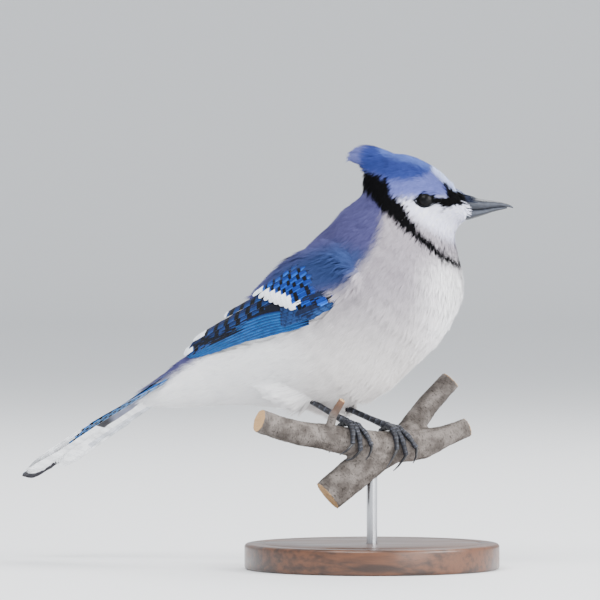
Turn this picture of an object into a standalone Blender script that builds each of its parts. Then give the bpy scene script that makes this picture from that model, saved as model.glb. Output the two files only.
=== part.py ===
"""Blue jay at life size, perched on a cut length of branch that a display stand holds up.

Sizes are in millimetres, and MM turns them into metres where a mesh is made. +Z is up, the
head faces +X, and the origin is the middle of the base's underside. The bird is drawn
straight first, in its own middle plane (x forward, z up) with y to its left, and is then
turned about a vertical line through its neck, so that the tail points away behind it.
"""

import math
from dataclasses import dataclass

import bmesh
import bpy
from mathutils import Matrix, Vector
from mathutils.bvhtree import BVHTree

# Driving dimensions
MM = 0.001
GAP = 0.3
BODY_TURN = 26.0
NECK_LINE = (18.8, -8.0)
ROUND_STEPS = 24
LIMB_STEPS = 8
BILL_STEPS = 12
CAP_RINGS = 2

# The stand
BASE_RADIUS = 60.0
BASE_HEIGHT = 12.0
BASE_BEVEL = 1.6
BASE_STEPS = 48
ROD_RADIUS = 2.5
ROD_FOOT = 4.5
ROD_TOP = 57.0
ROD_STEPS = 20

# The perch runs away from the viewer as it goes right: y is this much of x, less an offset
PERCH_DEPTH = 0.45
PERCH_OFFSET = 1.8
PERCH_STEPS = 16
PERCH_REACH = 14.0

# The feet stand at these places along the perch
FOOT_RIGHT_X = -13.2
FOOT_LEFT_X = 7.4
SHANK_LENGTH = 35.0
SHANK_RADIUS = 1.5
TOE_RADIUS = 1.45
CLAW_RADIUS = 0.85
CLAW_TIP_RADIUS = 0.22
CLAW_GAP = 0.5

EYE_RADIUS = 4.4
EYE_PLACE = (24.4, 173.3)
EYE_DEPTH = 13.1


@dataclass(frozen=True)
class Section:
    """A cut across the body: its top and bottom points (x, z), half width and turn in degrees."""

    name: str
    back: tuple
    belly: tuple
    half_width: float
    turn: float = BODY_TURN
    fullness: float = 0.0

    def numbers(self):
        return (*self.back, *self.belly, self.half_width, self.turn, self.fullness)


BODY = (
    Section("covert tips", (-117.5, 86.6), (-112.5, 74.6), 6.0),
    Section("tail coverts", (-108.8, 92.6), (-99.0, 74.4), 9.5),
    Section("rump", (-84.0, 109.5), (-74.0, 75.6), 15.5, BODY_TURN, 0.05),
    Section("lower back", (-63.5, 123.0), (-49.0, 74.6), 23.0, BODY_TURN, 0.12),
    Section("thighs", (-47.6, 138.5), (-25.0, 74.2), 29.5, BODY_TURN, 0.18),
    Section("belly", (-37.0, 148.5), (0.6, 80.6), 32.5, BODY_TURN, 0.14),
    Section("chest", (-25.6, 159.0), (18.0, 94.6), 33.5, BODY_TURN, 0.06),
    Section("breast", (-18.9, 165.0), (32.0, 108.4), 33.0),
    Section("upper breast", (-13.6, 170.5), (41.2, 124.6), 29.5),
    Section("neck root", (-8.4, 174.0), (42.5, 136.5), 26.0, 20.0),
    Section("neck", (-4.8, 178.1), (40.6, 147.5), 22.0, 11.0),
    Section("throat", (-4.0, 184.8), (39.4, 154.6), 19.5, 4.0),
    Section("nape", (-0.5, 190.5), (39.6, 158.2), 17.8, 0.0),
    Section("hind crown", (6.5, 194.8), (40.6, 160.2), 16.8, 0.0),
    Section("crown", (16.5, 194.8), (41.8, 161.9), 16.0, 0.0),
    Section("forecrown", (25.4, 191.2), (43.2, 163.0), 14.0, 0.0),
    Section("forehead", (32.4, 186.6), (44.2, 163.8), 11.2, 0.0),
    Section("lores", (37.3, 181.6), (44.9, 164.2), 8.0, 0.0),
    Section("bill base", (41.0, 176.8), (45.8, 164.9), 5.4, 0.0),
)
TAIL_DOME = 4.0
BILL_DOME = 1.2
RINGS_PER_SECTION = 2

# Where thin cuts part the body, as places along BODY
RUMP_CUT = 2.0
NECK_ROOT_CUT = 8.75
NECK_TOP_CUT = 11.5


@dataclass(frozen=True)
class WingSection:
    """A cut across the right wing: its upper and lower edge (x, z, y) and half thickness."""

    upper: tuple
    lower: tuple
    half_thickness: float

    def numbers(self):
        return (*self.upper, *self.lower, self.half_thickness)


WING = (
    WingSection((-96.5, 100.8, -6.5), (-95.6, 98.6, -8.0), 0.7),
    WingSection((-83.0, 112.8, -8.0), (-77.5, 100.6, -17.0), 2.6),
    WingSection((-66.0, 123.8, -9.5), (-57.6, 106.4, -25.5), 5.0),
    WingSection((-50.0, 135.8, -10.5), (-36.0, 112.0, -32.0), 8.5),
    WingSection((-36.0, 147.5, -12.5), (-19.0, 116.4, -34.5), 9.0),
    WingSection((-20.0, 152.5, -19.0), (-3.0, 123.5, -35.0), 7.0),
    WingSection((-5.0, 151.5, -27.0), (7.0, 133.4, -34.5), 4.0),
    WingSection((3.0, 146.0, -30.5), (8.6, 139.0, -33.0), 1.6),
)


@dataclass(frozen=True)
class TailSection:
    """A cut across the folded tail: its middle (x, z), half width and half thickness."""

    middle: tuple
    half_width: float
    half_thickness: float

    def numbers(self):
        return (*self.middle, self.half_width, self.half_thickness)


TAIL = (
    TailSection((-92.0, 98.6), 7.5, 1.7),
    TailSection((-113.0, 85.0), 10.5, 1.7),
    TailSection((-140.0, 67.9), 14.0, 1.5),
    TailSection((-162.0, 53.4), 15.2, 1.2),
    TailSection((-174.0, 46.4), 14.4, 1.0),
    TailSection((-181.0, 42.6), 12.6, 0.8),
    TailSection((-185.4, 40.3), 9.0, 0.7),
    TailSection((-187.6, 39.3), 5.2, 0.6),
)
TAIL_TIP_DOME = 1.2
TAIL_ROLL = 10.0
TAIL_ARCH = 1.8


@dataclass(frozen=True)
class TuftSection:
    """A cut across the crest or a half of the bill: its middle (x, z), half height and half width."""

    middle: tuple
    half_height: float
    half_width: float

    def numbers(self):
        return (*self.middle, self.half_height, self.half_width)


CREST = (
    TuftSection((18.0, 185.5), 7.0, 8.0),
    TuftSection((6.5, 190.4), 6.8, 7.6),
    TuftSection((-1.0, 192.8), 6.0, 5.8),
    TuftSection((-6.6, 193.6), 4.0, 3.6),
    TuftSection((-10.2, 193.0), 1.3, 1.3),
)
UPPER_BILL = (
    TuftSection((38.0, 172.5), 4.0, 5.0),
    TuftSection((45.6, 172.1), 2.9, 4.4),
    TuftSection((51.5, 171.6), 2.1, 3.4),
    TuftSection((57.2, 171.6), 1.35, 2.3),
    TuftSection((61.7, 171.3), 0.8, 1.4),
    TuftSection((64.6, 170.6), 0.5, 0.8),
    TuftSection((66.0, 169.9), 0.2, 0.3),
)
LOWER_BILL = (
    TuftSection((38.0, 166.0), 2.2, 4.5),
    TuftSection((45.6, 166.55), 2.35, 3.9),
    TuftSection((51.5, 167.6), 1.6, 2.9),
    TuftSection((56.6, 168.85), 1.1, 1.9),
    TuftSection((61.0, 169.5), 0.65, 1.0),
    TuftSection((63.2, 169.7), 0.25, 0.4),
)


@dataclass(frozen=True)
class PerchPoint:
    """A point on the perch's centre line (x, z) and the perch's radius there."""

    x: float
    z: float
    radius: float

    def numbers(self):
        return (self.x, PERCH_DEPTH * self.x - PERCH_OFFSET, self.z, self.radius)


PERCH = (
    PerchPoint(-53.0, 70.6, 5.8),
    PerchPoint(-42.0, 66.6, 5.8),
    PerchPoint(-32.0, 64.0, 6.0),
    PerchPoint(-22.0, 62.4, 6.4),
    PerchPoint(-11.0, 60.0, 7.0),
    PerchPoint(2.0, 57.8, 7.3),
    PerchPoint(13.0, 57.3, 7.8),
    PerchPoint(24.0, 58.6, 7.6),
    PerchPoint(34.0, 61.6, 5.4),
    PerchPoint(45.0, 65.8, 4.8),
)
UPPER_STUB = ((12.5, 8.0, 58.0), (19.8, 13.5, 67.6), (27.6, 17.5, 77.6), (37.5, 20.5, 88.2))
UPPER_STUB_RADII = (6.0, 5.9, 5.5, 5.1)
LOWER_STUB = ((12.0, 4.0, 57.0), (2.0, 0.0, 53.0), (-9.0, -4.0, 44.5), (-21.0, -7.0, 34.5))
LOWER_STUB_RADII = (6.8, 8.2, 8.4, 8.0)
TWIG_STUB = ((-20.5, -14.0, 64.5), (-18.5, -17.0, 72.5), (-14.0, -19.5, 80.0))
TWIG_STUB_RADII = (2.6, 2.1, 1.8)


def clear_scene():
    """Removes whatever the file opened with."""
    for obj in list(bpy.data.objects):
        bpy.data.objects.remove(obj)


def material(name, colour, roughness, metallic=0.0):
    made = bpy.data.materials.new(name)
    made.use_nodes = True
    shader = made.node_tree.nodes["Principled BSDF"]
    shader.inputs["Base Color"].default_value = (*colour, 1.0)
    shader.inputs["Roughness"].default_value = roughness
    shader.inputs["Metallic"].default_value = metallic
    made.diffuse_color = (*colour, 1.0)
    return made


def object_of(name, mesh_tool, finish=None):
    """Makes a named object from a closed bmesh in millimetres, with its faces pointing out."""
    bmesh.ops.remove_doubles(mesh_tool, verts=mesh_tool.verts, dist=0.002)
    bmesh.ops.recalc_face_normals(mesh_tool, faces=mesh_tool.faces)
    mesh = bpy.data.meshes.new(name)
    mesh_tool.transform(Matrix.Scale(MM, 4))
    mesh_tool.to_mesh(mesh)
    mesh_tool.free()
    obj = bpy.data.objects.new(name, mesh)
    bpy.context.scene.collection.objects.link(obj)
    if finish:
        mesh.materials.append(finish)
    return obj


def smooth(obj, sharp_degrees=50.0):
    obj.data.shade_smooth()
    obj.data.set_sharp_from_angle(angle=math.radians(sharp_degrees))
    return obj


def between(sections, place):
    """The numbers of a run of sections at a place along it, on a smooth curve through them."""
    last = len(sections) - 1
    place = min(max(place, 0.0), float(last))
    index = min(int(place), last - 1)
    part = place - index
    around = [sections[min(max(index + k, 0), last)].numbers() for k in (-1, 0, 1, 2)]
    return [spline(*four, part) for four in zip(*around)]


def spline(before, start, end, after, part):
    """A Catmull-Rom curve from start to end."""
    rise = (end - before) / 2
    fall = (after - start) / 2
    return (
        (2 * part**3 - 3 * part**2 + 1) * start
        + (part**3 - 2 * part**2 + part) * rise
        + (3 * part**2 - 2 * part**3) * end
        + (part**3 - part**2) * fall
    )


def turned(x, y, z, degrees):
    """A point of the straight bird, turned about the upright line through its neck."""
    angle = math.radians(degrees)
    line_x, line_y = NECK_LINE
    ahead = x - line_x
    return Vector(
        (
            line_x + ahead * math.cos(angle) + y * math.sin(angle),
            line_y - ahead * math.sin(angle) + y * math.cos(angle),
            z,
        )
    )


def domed(rings, length_first, length_last):
    """Adds rings that close each end of a run of rings with a round dome of that length."""
    first = dome_rings(rings[1], rings[0], length_first)
    last = dome_rings(rings[-2], rings[-1], length_last)
    return first[::-1] + rings + last


def dome_rings(inner, edge, length):
    if length <= 0:
        return []
    middle = sum(edge, Vector()) / len(edge)
    outward = (middle - sum(inner, Vector()) / len(inner)).normalized()
    found = []
    for k in range(1, CAP_RINGS + 1):
        lean = math.radians(90 * k / (CAP_RINGS + 1))
        shift = outward * length * math.sin(lean)
        found.append([middle + (p - middle) * math.cos(lean) + shift for p in edge])
    found.append([middle + outward * length])
    return found


def loft(name, rings, finish=None):
    """A closed solid through rings of points. A ring of one point is a pole."""
    tool = bmesh.new()
    rows = [[tool.verts.new(p) for p in ring] for ring in rings]
    for row, after in zip(rows, rows[1:]):
        steps = max(len(row), len(after))
        for k in range(steps):
            corners = (
                row[k % len(row)],
                row[(k + 1) % len(row)],
                after[(k + 1) % len(after)],
                after[k % len(after)],
            )
            tool.faces.new(dict.fromkeys(corners))
    for row in (rows[0], rows[-1]):
        if len(row) > 2:
            tool.faces.new(row)
    return object_of(name, tool, finish)


def boolean(target, tool, operation="DIFFERENCE"):
    """Cuts the tool from the target, or joins it on, and removes the tool."""
    modifier = target.modifiers.new("cut", "BOOLEAN")
    modifier.operation = operation
    modifier.solver = "EXACT"
    modifier.object = tool
    bpy.context.view_layer.update()
    graph = bpy.context.evaluated_depsgraph_get()
    made = bpy.data.meshes.new_from_object(target.evaluated_get(graph))
    target.modifiers.clear()
    target.data = made
    made.name = target.name
    bpy.data.objects.remove(tool)
    return target


# The body
def body_ring(place, grow=0.0):
    back_x, back_z, belly_x, belly_z, half_width, turn, fullness = between(BODY, place)
    back, belly = Vector((back_x, back_z)), Vector((belly_x, belly_z))
    middle = (back + belly) / 2
    up = (back - belly).normalized()
    half_depth = (back - belly).length / 2 + grow
    ring = []
    for k in range(ROUND_STEPS):
        angle = 2 * math.pi * k / ROUND_STEPS
        flat = middle + up * half_depth * math.cos(angle)
        side = (half_width + grow) * math.sin(angle) * (1 + fullness * math.cos(angle))
        ring.append(turned(flat.x, side, flat.y, turn))
    return ring


def body_solid(name, grow=0.0, finish=None):
    """The bird's whole body and head, larger all round by grow."""
    count = (len(BODY) - 1) * RINGS_PER_SECTION
    rings = [body_ring(k / RINGS_PER_SECTION, grow) for k in range(count + 1)]
    return loft(name, domed(rings, TAIL_DOME + grow, BILL_DOME + grow), finish)


def cut_plane(place):
    """A point on the cut at this place along the body, and the way towards the head."""
    ring = body_ring(place)
    ahead = body_ring(place + 0.05)
    middle = sum(ring, Vector()) / len(ring)
    top, side = ring[0] - middle, ring[ROUND_STEPS // 4] - middle
    facing = side.cross(top).normalized()
    onward = sum(ahead, Vector()) / len(ahead) - middle
    return middle, facing if facing.dot(onward) > 0 else -facing


def keep_side(obj, point, way):
    """Cuts a closed solid by a plane, keeps the side that way points to, and closes it."""
    tool = bmesh.new()
    tool.from_mesh(obj.data)
    bmesh.ops.bisect_plane(
        tool,
        geom=[*tool.verts, *tool.edges, *tool.faces],
        plane_co=point * MM,
        plane_no=way,
        clear_inner=True,
    )
    rim = [edge for edge in tool.edges if edge.is_boundary]
    bmesh.ops.contextual_create(tool, geom=rim)
    bmesh.ops.recalc_face_normals(tool, faces=tool.faces)
    tool.to_mesh(obj.data)
    tool.free()
    return obj


def body_part(name, first_cut, last_cut, finish):
    """The stretch of the body between two thin cuts, either of which may be None."""
    part = body_solid(name, finish=finish)
    if first_cut is not None:
        point, ahead = cut_plane(first_cut)
        keep_side(part, point + ahead * GAP / 2, ahead)
    if last_cut is not None:
        point, ahead = cut_plane(last_cut)
        keep_side(part, point - ahead * GAP / 2, -ahead)
    return part


def build_body(plumage):
    head = body_part("head", NECK_TOP_CUT, None, plumage["head"])
    for side in (-1, 1):
        boolean(head, eyeball("socket", side, EYE_RADIUS + GAP))
    parts = [
        body_part("tail_coverts", None, RUMP_CUT, plumage["belly"]),
        body_part("trunk", RUMP_CUT, NECK_ROOT_CUT, plumage["belly"]),
        body_part("neck", NECK_ROOT_CUT, NECK_TOP_CUT, plumage["back"]),
        head,
    ]
    return [smooth(part) for part in parts]


def eyeball(name, side, radius, finish=None):
    x, z = EYE_PLACE
    tool = bmesh.new()
    place = Matrix.Translation((x, NECK_LINE[1] + side * EYE_DEPTH, z))
    turn = Matrix.Rotation(math.radians(90), 4, "X")
    bmesh.ops.create_uvsphere(
        tool, u_segments=14, v_segments=9, radius=radius, matrix=place @ turn
    )
    return object_of(name, tool, finish)


def build_eyes(finish):
    for side, word in ((-1, "right"), (1, "left")):
        smooth(eyeball(f"eye_{word}", side, EYE_RADIUS, finish))


# The crest and the bill
def tuft_rings(sections, steps, places_each):
    rings = []
    for k in range((len(sections) - 1) * places_each + 1):
        x, z, half_height, half_width = between(sections, k / places_each)
        ring = []
        for step in range(steps):
            angle = 2 * math.pi * step / steps
            y = half_width * math.sin(angle)
            ring.append(turned(x, y, z + half_height * math.cos(angle), 0))
        rings.append(ring)
    return rings


def build_crest(finish):
    crest = loft("crest", tuft_rings(CREST, 20, 3), finish)
    smooth(boolean(crest, body_solid("grown", GAP)))


def bill_half(name, sections, flat_side, finish):
    """Half of the bill: round on its outer side and nearly flat where the halves meet."""
    rings = []
    for k in range((len(sections) - 1) * 2 + 1):
        x, z, half_height, half_width = between(sections, k / 2)
        ring = []
        for step in range(BILL_STEPS):
            angle = 2 * math.pi * step / BILL_STEPS
            rise = half_height * math.cos(angle)
            across = math.sin(angle)
            if rise * flat_side > 0:
                rise = flat_side * half_height
                across = math.copysign(math.sqrt(abs(across)), across)
            ring.append(turned(x, half_width * across, z + rise, 0))
        rings.append(ring)
    return smooth(boolean(loft(name, rings, finish), body_solid("grown", GAP)), 40.0)


def build_bill(finish):
    bill_half("bill_upper", UPPER_BILL, -1, finish)
    bill_half("bill_lower", LOWER_BILL, 1, finish)


# The wings and the tail
def wing_rings(side):
    """The wing's rings. Side is -1 on the bird's right and 1 on its left."""
    rows = []
    count = (len(WING) - 1) * 2
    for k in range(count + 1):
        ux, uz, uy, lx, lz, ly, half = between(WING, k / 2)
        rows.append((Vector((ux, uy, uz)), Vector((lx, ly, lz)), half))
    rings = []
    for k, (upper, lower, half) in enumerate(rows):
        before, after = rows[max(k - 1, 0)], rows[min(k + 1, count)]
        along = (after[0] + after[1] - before[0] - before[1]).normalized()
        span = (upper - lower) / 2
        outward = span.cross(along).normalized()
        if outward.y > 0:
            outward = -outward
        middle = (upper + lower) / 2
        ring = []
        for step in range(18):
            angle = 2 * math.pi * step / 18
            p = middle + span * math.cos(angle) + outward * half * math.sin(angle)
            ring.append(turned(p.x, -side * p.y, p.z, BODY_TURN))
        rings.append(ring)
    return rings


def build_wings(finish):
    for side, word in ((-1, "right"), (1, "left")):
        wing = loft(f"wing_{word}", wing_rings(side), finish)
        smooth(boolean(wing, body_solid("grown", GAP)))


def tail_rings(grow=0.0):
    rings = []
    roll = math.radians(TAIL_ROLL)
    for k in range((len(TAIL) - 1) * 2 + 1):
        x, z, half_width, half_thickness = between(TAIL, k / 2)
        ring = []
        for step in range(20):
            angle = 2 * math.pi * step / 20
            y = (half_width + grow) * math.cos(angle)
            drop = TAIL_ARCH * math.cos(angle) ** 2
            rise = (half_thickness + grow) * math.sin(angle) - drop
            turned_y = y * math.cos(roll) + rise * math.sin(roll)
            turned_z = rise * math.cos(roll) - y * math.sin(roll)
            ring.append(turned(x, turned_y, z + turned_z, BODY_TURN))
        rings.append(ring)
    return domed(rings, 0, TAIL_TIP_DOME + grow)


def build_tail(finish):
    tail = loft("tail", tail_rings(), finish)
    smooth(boolean(tail, body_solid("grown", GAP)))
    for word in ("right", "left"):
        boolean(bpy.data.objects[f"wing_{word}"], loft("grown_tail", tail_rings(GAP)))


# The perch
def perch_numbers(x):
    """The perch's centre and direction where its centre line has this x."""
    low, high = 0.0, float(len(PERCH) - 1)
    for _ in range(40):
        place = (low + high) / 2
        low, high = (place, high) if between(PERCH, place)[0] < x else (low, place)
    here = between(PERCH, low)
    ahead = between(PERCH, low + 0.02)
    centre = Vector(here[:3])
    return centre, (Vector(ahead[:3]) - centre).normalized()


def on_perch(bark_surface, x, degrees, lift):
    """A point over the perch's surface, at an angle from its top round to the viewer's side."""
    centre, along = perch_numbers(x)
    front = along.cross(Vector((0, 0, 1))).normalized()
    up = front.cross(along).normalized()
    angle = math.radians(degrees)
    outward = up * math.cos(angle) + front * math.sin(angle)
    start = (centre + outward * PERCH_REACH) * MM
    found = bark_surface.ray_cast(start, -outward)[0]
    return found / MM + outward * lift


def tube(name, points, radii, steps, finish=None, pointed=False):
    """A closed round tube along points, flat at both ends or drawn to a point at the last."""
    rings = []
    side = None
    for k, point in enumerate(points):
        before, after = points[max(k - 1, 0)], points[min(k + 1, len(points) - 1)]
        along = (after - before).normalized()
        if side is None:
            side = along.orthogonal().normalized()
        side = (side - along * side.dot(along)).normalized()
        up = along.cross(side)
        ring = []
        for step in range(steps):
            angle = 2 * math.pi * step / steps
            around = side * math.cos(angle) + up * math.sin(angle)
            ring.append(point + around * radii[k])
        rings.append(ring)
    if pointed:
        rings.append([points[-1] + (points[-1] - points[-2]).normalized() * radii[-1]])
    return loft(name, rings, finish)


def build_perch(bark):
    """The forked branch. Returns its surface, for the feet to be laid on."""
    count = (len(PERCH) - 1) * 2
    rows = [between(PERCH, k / 2) for k in range(count + 1)]
    points = [Vector(row[:3]) for row in rows]
    perch = tube("perch", points, [row[3] for row in rows], PERCH_STEPS, bark)
    stubs = (
        (LOWER_STUB, LOWER_STUB_RADII, PERCH_STEPS),
        (UPPER_STUB, UPPER_STUB_RADII, 16),
        (TWIG_STUB, TWIG_STUB_RADII, 10),
    )
    for line, radii, steps in stubs:
        stub = tube("stub", [Vector(p) for p in line], radii, steps)
        boolean(perch, stub, "UNION")
    mesh_tool = bmesh.new()
    mesh_tool.from_mesh(perch.data)
    bark_surface = BVHTree.FromBMesh(mesh_tool)
    mesh_tool.free()
    hole = upright("hole", ROD_RADIUS + GAP, 20.0, ROD_TOP + GAP, ROD_STEPS)
    smooth(boolean(perch, hole), 40.0)
    return bark_surface


# The stand
def upright(name, radius, bottom, top, steps, bevel=0.0, finish=None):
    """An upright round bar on the origin's line, with its rims bevelled where asked."""
    tool = bmesh.new()
    bmesh.ops.create_cone(
        tool,
        cap_ends=True,
        segments=steps,
        radius1=radius,
        radius2=radius,
        depth=top - bottom,
        matrix=Matrix.Translation((0, 0, (top + bottom) / 2)),
    )
    if bevel:
        rims = [e for e in tool.edges if abs(e.verts[0].co.z - e.verts[1].co.z) < 0.01]
        bmesh.ops.bevel(tool, geom=rims, offset=bevel, segments=2, affect="EDGES")
    return object_of(name, tool, finish)


def build_stand(wood, steel):
    base = upright(
        "stand_base", BASE_RADIUS, 0.0, BASE_HEIGHT, BASE_STEPS, BASE_BEVEL, wood
    )
    hole = upright("hole", ROD_RADIUS + GAP, ROD_FOOT - GAP, BASE_HEIGHT + 5, ROD_STEPS)
    smooth(boolean(base, hole), 30.0)
    rod = upright("stand_rod", ROD_RADIUS, ROD_FOOT, ROD_TOP, ROD_STEPS, 0.3, steel)
    smooth(rod, 40.0)


# The legs and feet
@dataclass(frozen=True)
class Toe:
    """A toe laid over the perch: where it starts and ends along it, and round it in degrees."""

    name: str
    start: tuple
    end: tuple
    claw_end: tuple


FRONT_TOES = (
    Toe("first", (-0.4, -8.0), (0.6, 96.0), (-3.4, 140.0)),
    Toe("second", (0.2, -8.0), (4.8, 112.0), (1.0, 158.0)),
    Toe("third", (0.8, -9.0), (9.4, 92.0), (8.4, 138.0)),
)
HIND_TOE = Toe("hind", (0.0, -12.0), (-2.2, -92.0), (-3.0, -134.0))
TOES = (*FRONT_TOES, HIND_TOE)
TOE_RINGS = 10
CLAW_RINGS = 7
JOINT_ANGLE = -10.0
JOINT_LIFT = 2.1


def toe_radius(part):
    """A toe is thickest at its root, swells at each pad and narrows to its end."""
    return TOE_RADIUS * (1.12 - 0.34 * part + 0.07 * math.cos(part * 6 * math.pi))


def toe_line(bark_surface, toe, foot_x):
    points, radii = [], []
    for k in range(TOE_RINGS):
        part = k / (TOE_RINGS - 1)
        along = toe.start[0] + (toe.end[0] - toe.start[0]) * part
        degrees = toe.start[1] + (toe.end[1] - toe.start[1]) * part
        radii.append(toe_radius(part))
        points.append(on_perch(bark_surface, foot_x + along, degrees, radii[-1] + GAP))
    return points, radii


def claw_line(bark_surface, toe, foot_x, toe_points):
    """A claw starts just past the toe's end, rises as a knuckle and curves in to its point."""
    end_radius = toe_radius(1.0)
    start = toe_points[-1] + (toe_points[-1] - toe_points[-2]).normalized() * CLAW_GAP
    points, radii = [], []
    for k in range(CLAW_RINGS):
        part = k / (CLAW_RINGS - 1)
        along = toe.end[0] + (toe.claw_end[0] - toe.end[0]) * part
        degrees = toe.end[1] + (toe.claw_end[1] - toe.end[1]) * part
        radius = CLAW_RADIUS + (CLAW_TIP_RADIUS - CLAW_RADIUS) * part**1.3
        lift = end_radius + GAP + 0.9 * math.sin(part * math.pi) + 1.2 * part**2
        radii.append(radius)
        points.append(on_perch(bark_surface, foot_x + along, degrees, lift))
    shift = start - points[0]
    fades = [(1 - k / (CLAW_RINGS - 1)) ** 2 for k in range(CLAW_RINGS)]
    return [p + shift * fade for p, fade in zip(points, fades)], radii


def ball(name, centre, radius, finish=None):
    tool = bmesh.new()
    place = Matrix.Translation(centre)
    bmesh.ops.create_uvsphere(tool, u_segments=12, v_segments=7, radius=radius, matrix=place)
    return object_of(name, tool, finish)


def build_foot(bark_surface, word, foot_x, scale_skin, horn):
    """One foot: a joint on top of the perch, three toes over its near side and one behind."""
    joint = on_perch(bark_surface, foot_x, JOINT_ANGLE, JOINT_LIFT + GAP)
    foot = ball(f"foot_{word}", joint, JOINT_LIFT, scale_skin)
    lines = [toe_line(bark_surface, toe, foot_x) for toe in TOES]
    for toe, (points, radii) in zip(TOES, lines):
        boolean(foot, tube("toe", points, radii, LIMB_STEPS), "UNION")
        points, radii = claw_line(bark_surface, toe, foot_x, points)
        name = f"claw_{word}_{toe.name}"
        smooth(tube(name, points, radii, 8, horn, pointed=True))
    smooth(foot)
    return joint, lines


def clear_of_foot(obj, joint, lines):
    """Cuts a solid back to leave a thin gap round the foot's joint and toes."""
    boolean(obj, ball("grown_joint", joint, JOINT_LIFT + GAP))
    for points, radii in lines:
        wider = [radius + GAP for radius in radii]
        boolean(obj, tube("grown_toe", points, wider, LIMB_STEPS))


@dataclass(frozen=True)
class Leg:
    """A leg: its side, its foot's place, the way up to its ankle and its thigh's shift to the left."""

    word: str
    foot_x: float
    rise: tuple
    thigh_shift: float


LEGS = (
    Leg("right", FOOT_RIGHT_X, (-18.4, 9.0, 10.6), -2.0),
    Leg("left", FOOT_LEFT_X, (-19.3, 9.4, 8.2), 2.0),
)
THIGH_START = 18.0
THIGH_LENGTH = 30.0
THIGH_RADIUS = 8.4
THIGH_RISE = 1.0
THIGH_RINGS = 11


def shank_radius(part):
    """A shank is wider at both of its joints than between them."""
    return SHANK_RADIUS * (0.94 + 0.45 * abs(2 * part - 1) ** 3)


def thigh_solid(name, joint, way, shift, plumage):
    """The feathered thigh: a long egg round the shank where it goes into the belly."""
    sideways = turned(0, shift, 0, BODY_TURN) - turned(0, 0, 0, BODY_TURN)
    points, radii = [], []
    for k in range(THIGH_RINGS):
        lean = math.pi * (k + 0.5) / THIGH_RINGS
        along = THIGH_START + THIGH_LENGTH * (1 - math.cos(lean)) / 2
        outward = sideways + Vector((0, 0, THIGH_RISE))
        points.append(joint + way * along + outward * math.sin(lean))
        radii.append(THIGH_RADIUS * math.sin(lean))
    return tube(name, points, radii, 16, plumage)


def build_leg(bark_surface, leg, scale_skin, horn, plumage):
    joint, lines = build_foot(bark_surface, leg.word, leg.foot_x, scale_skin, horn)
    way = Vector(leg.rise).normalized()
    parts = [k / 10 for k in range(11)]
    points = [joint + way * SHANK_LENGTH * part for part in parts]
    radii = [shank_radius(part) for part in parts]
    shank = tube(f"shank_{leg.word}", points, radii, 12, scale_skin)
    boolean(shank, body_solid("grown", GAP))
    clear_of_foot(shank, joint, lines)
    smooth(shank)
    thigh = thigh_solid(f"thigh_{leg.word}", joint, way, leg.thigh_shift, plumage)
    boolean(thigh, body_solid("grown", GAP))
    hole_ends = [joint, joint + way * (THIGH_START + THIGH_LENGTH)]
    hole_radius = SHANK_RADIUS * 1.4 + GAP
    boolean(thigh, tube("hole", hole_ends, (hole_radius, hole_radius), 12))
    smooth(thigh)


def main():
    clear_scene()
    plumage = {
        "head": material("head_plumage", (0.20, 0.26, 0.58), 0.75),
        "back": material("back_plumage", (0.24, 0.26, 0.50), 0.8),
        "belly": material("pale_plumage", (0.72, 0.69, 0.70), 0.85),
    }
    blue = material("flight_feathers", (0.06, 0.22, 0.55), 0.6)
    horn = material("bill_horn", (0.045, 0.05, 0.06), 0.35)
    scale_skin = material("leg_skin", (0.06, 0.06, 0.07), 0.55)
    eye = material("eye", (0.012, 0.008, 0.006), 0.08)
    bark = material("bark", (0.33, 0.28, 0.24), 0.9)
    wood = material("base_wood", (0.10, 0.05, 0.025), 0.4)
    steel = material("rod_steel", (0.55, 0.55, 0.56), 0.3, 1.0)
    build_body(plumage)
    build_eyes(eye)
    build_crest(plumage["head"])
    build_bill(horn)
    build_wings(blue)
    build_tail(blue)
    bark_surface = build_perch(bark)
    build_stand(wood, steel)
    for leg in LEGS:
        build_leg(bark_surface, leg, scale_skin, horn, plumage["belly"])


main()
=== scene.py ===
"""The finish of a life-size blue jay that grips a cut piece of branch on a plain display stand.

Lengths are in millimetres until a mesh is made, and the frame's own metres after that.
"""

import sys
import logging
import math
from dataclasses import dataclass, field
from enum import Enum

import bmesh
import bpy
import numpy as np
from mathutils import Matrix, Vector, noise
from mathutils.bvhtree import BVHTree
from mathutils.kdtree import KDTree


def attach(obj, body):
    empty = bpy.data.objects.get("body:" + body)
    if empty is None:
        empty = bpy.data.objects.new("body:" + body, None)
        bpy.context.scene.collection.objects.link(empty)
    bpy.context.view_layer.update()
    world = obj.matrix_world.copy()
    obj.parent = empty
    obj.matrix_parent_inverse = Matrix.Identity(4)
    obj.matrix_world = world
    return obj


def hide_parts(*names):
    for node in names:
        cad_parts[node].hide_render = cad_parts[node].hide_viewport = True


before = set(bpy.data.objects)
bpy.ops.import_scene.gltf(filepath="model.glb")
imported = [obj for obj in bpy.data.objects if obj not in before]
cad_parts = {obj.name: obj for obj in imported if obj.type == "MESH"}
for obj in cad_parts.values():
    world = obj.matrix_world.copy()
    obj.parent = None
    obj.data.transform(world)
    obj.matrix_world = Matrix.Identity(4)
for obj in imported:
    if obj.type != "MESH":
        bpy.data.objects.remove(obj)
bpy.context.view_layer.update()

LOG = logging.getLogger("blue_jay")
MM = 0.001
BAKE_MAP = "OFBake"
TUFT_PATCH = 0.003

Rows = np.ndarray
Colour = tuple[float, float, float]
Path = tuple[tuple[float, ...], ...]
Node = bpy.types.Node
Socket = bpy.types.NodeSocket
Object = bpy.types.Object
Mesh = bpy.types.Mesh
Material = bpy.types.Material


class Side(Enum):
    """A side of the bird, as the sign that its own left-right axis has there."""

    RIGHT = -1
    LEFT = 1

    @property
    def word(self) -> str:
        """The side's name in the names of pieces."""
        return self.name.lower()


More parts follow.
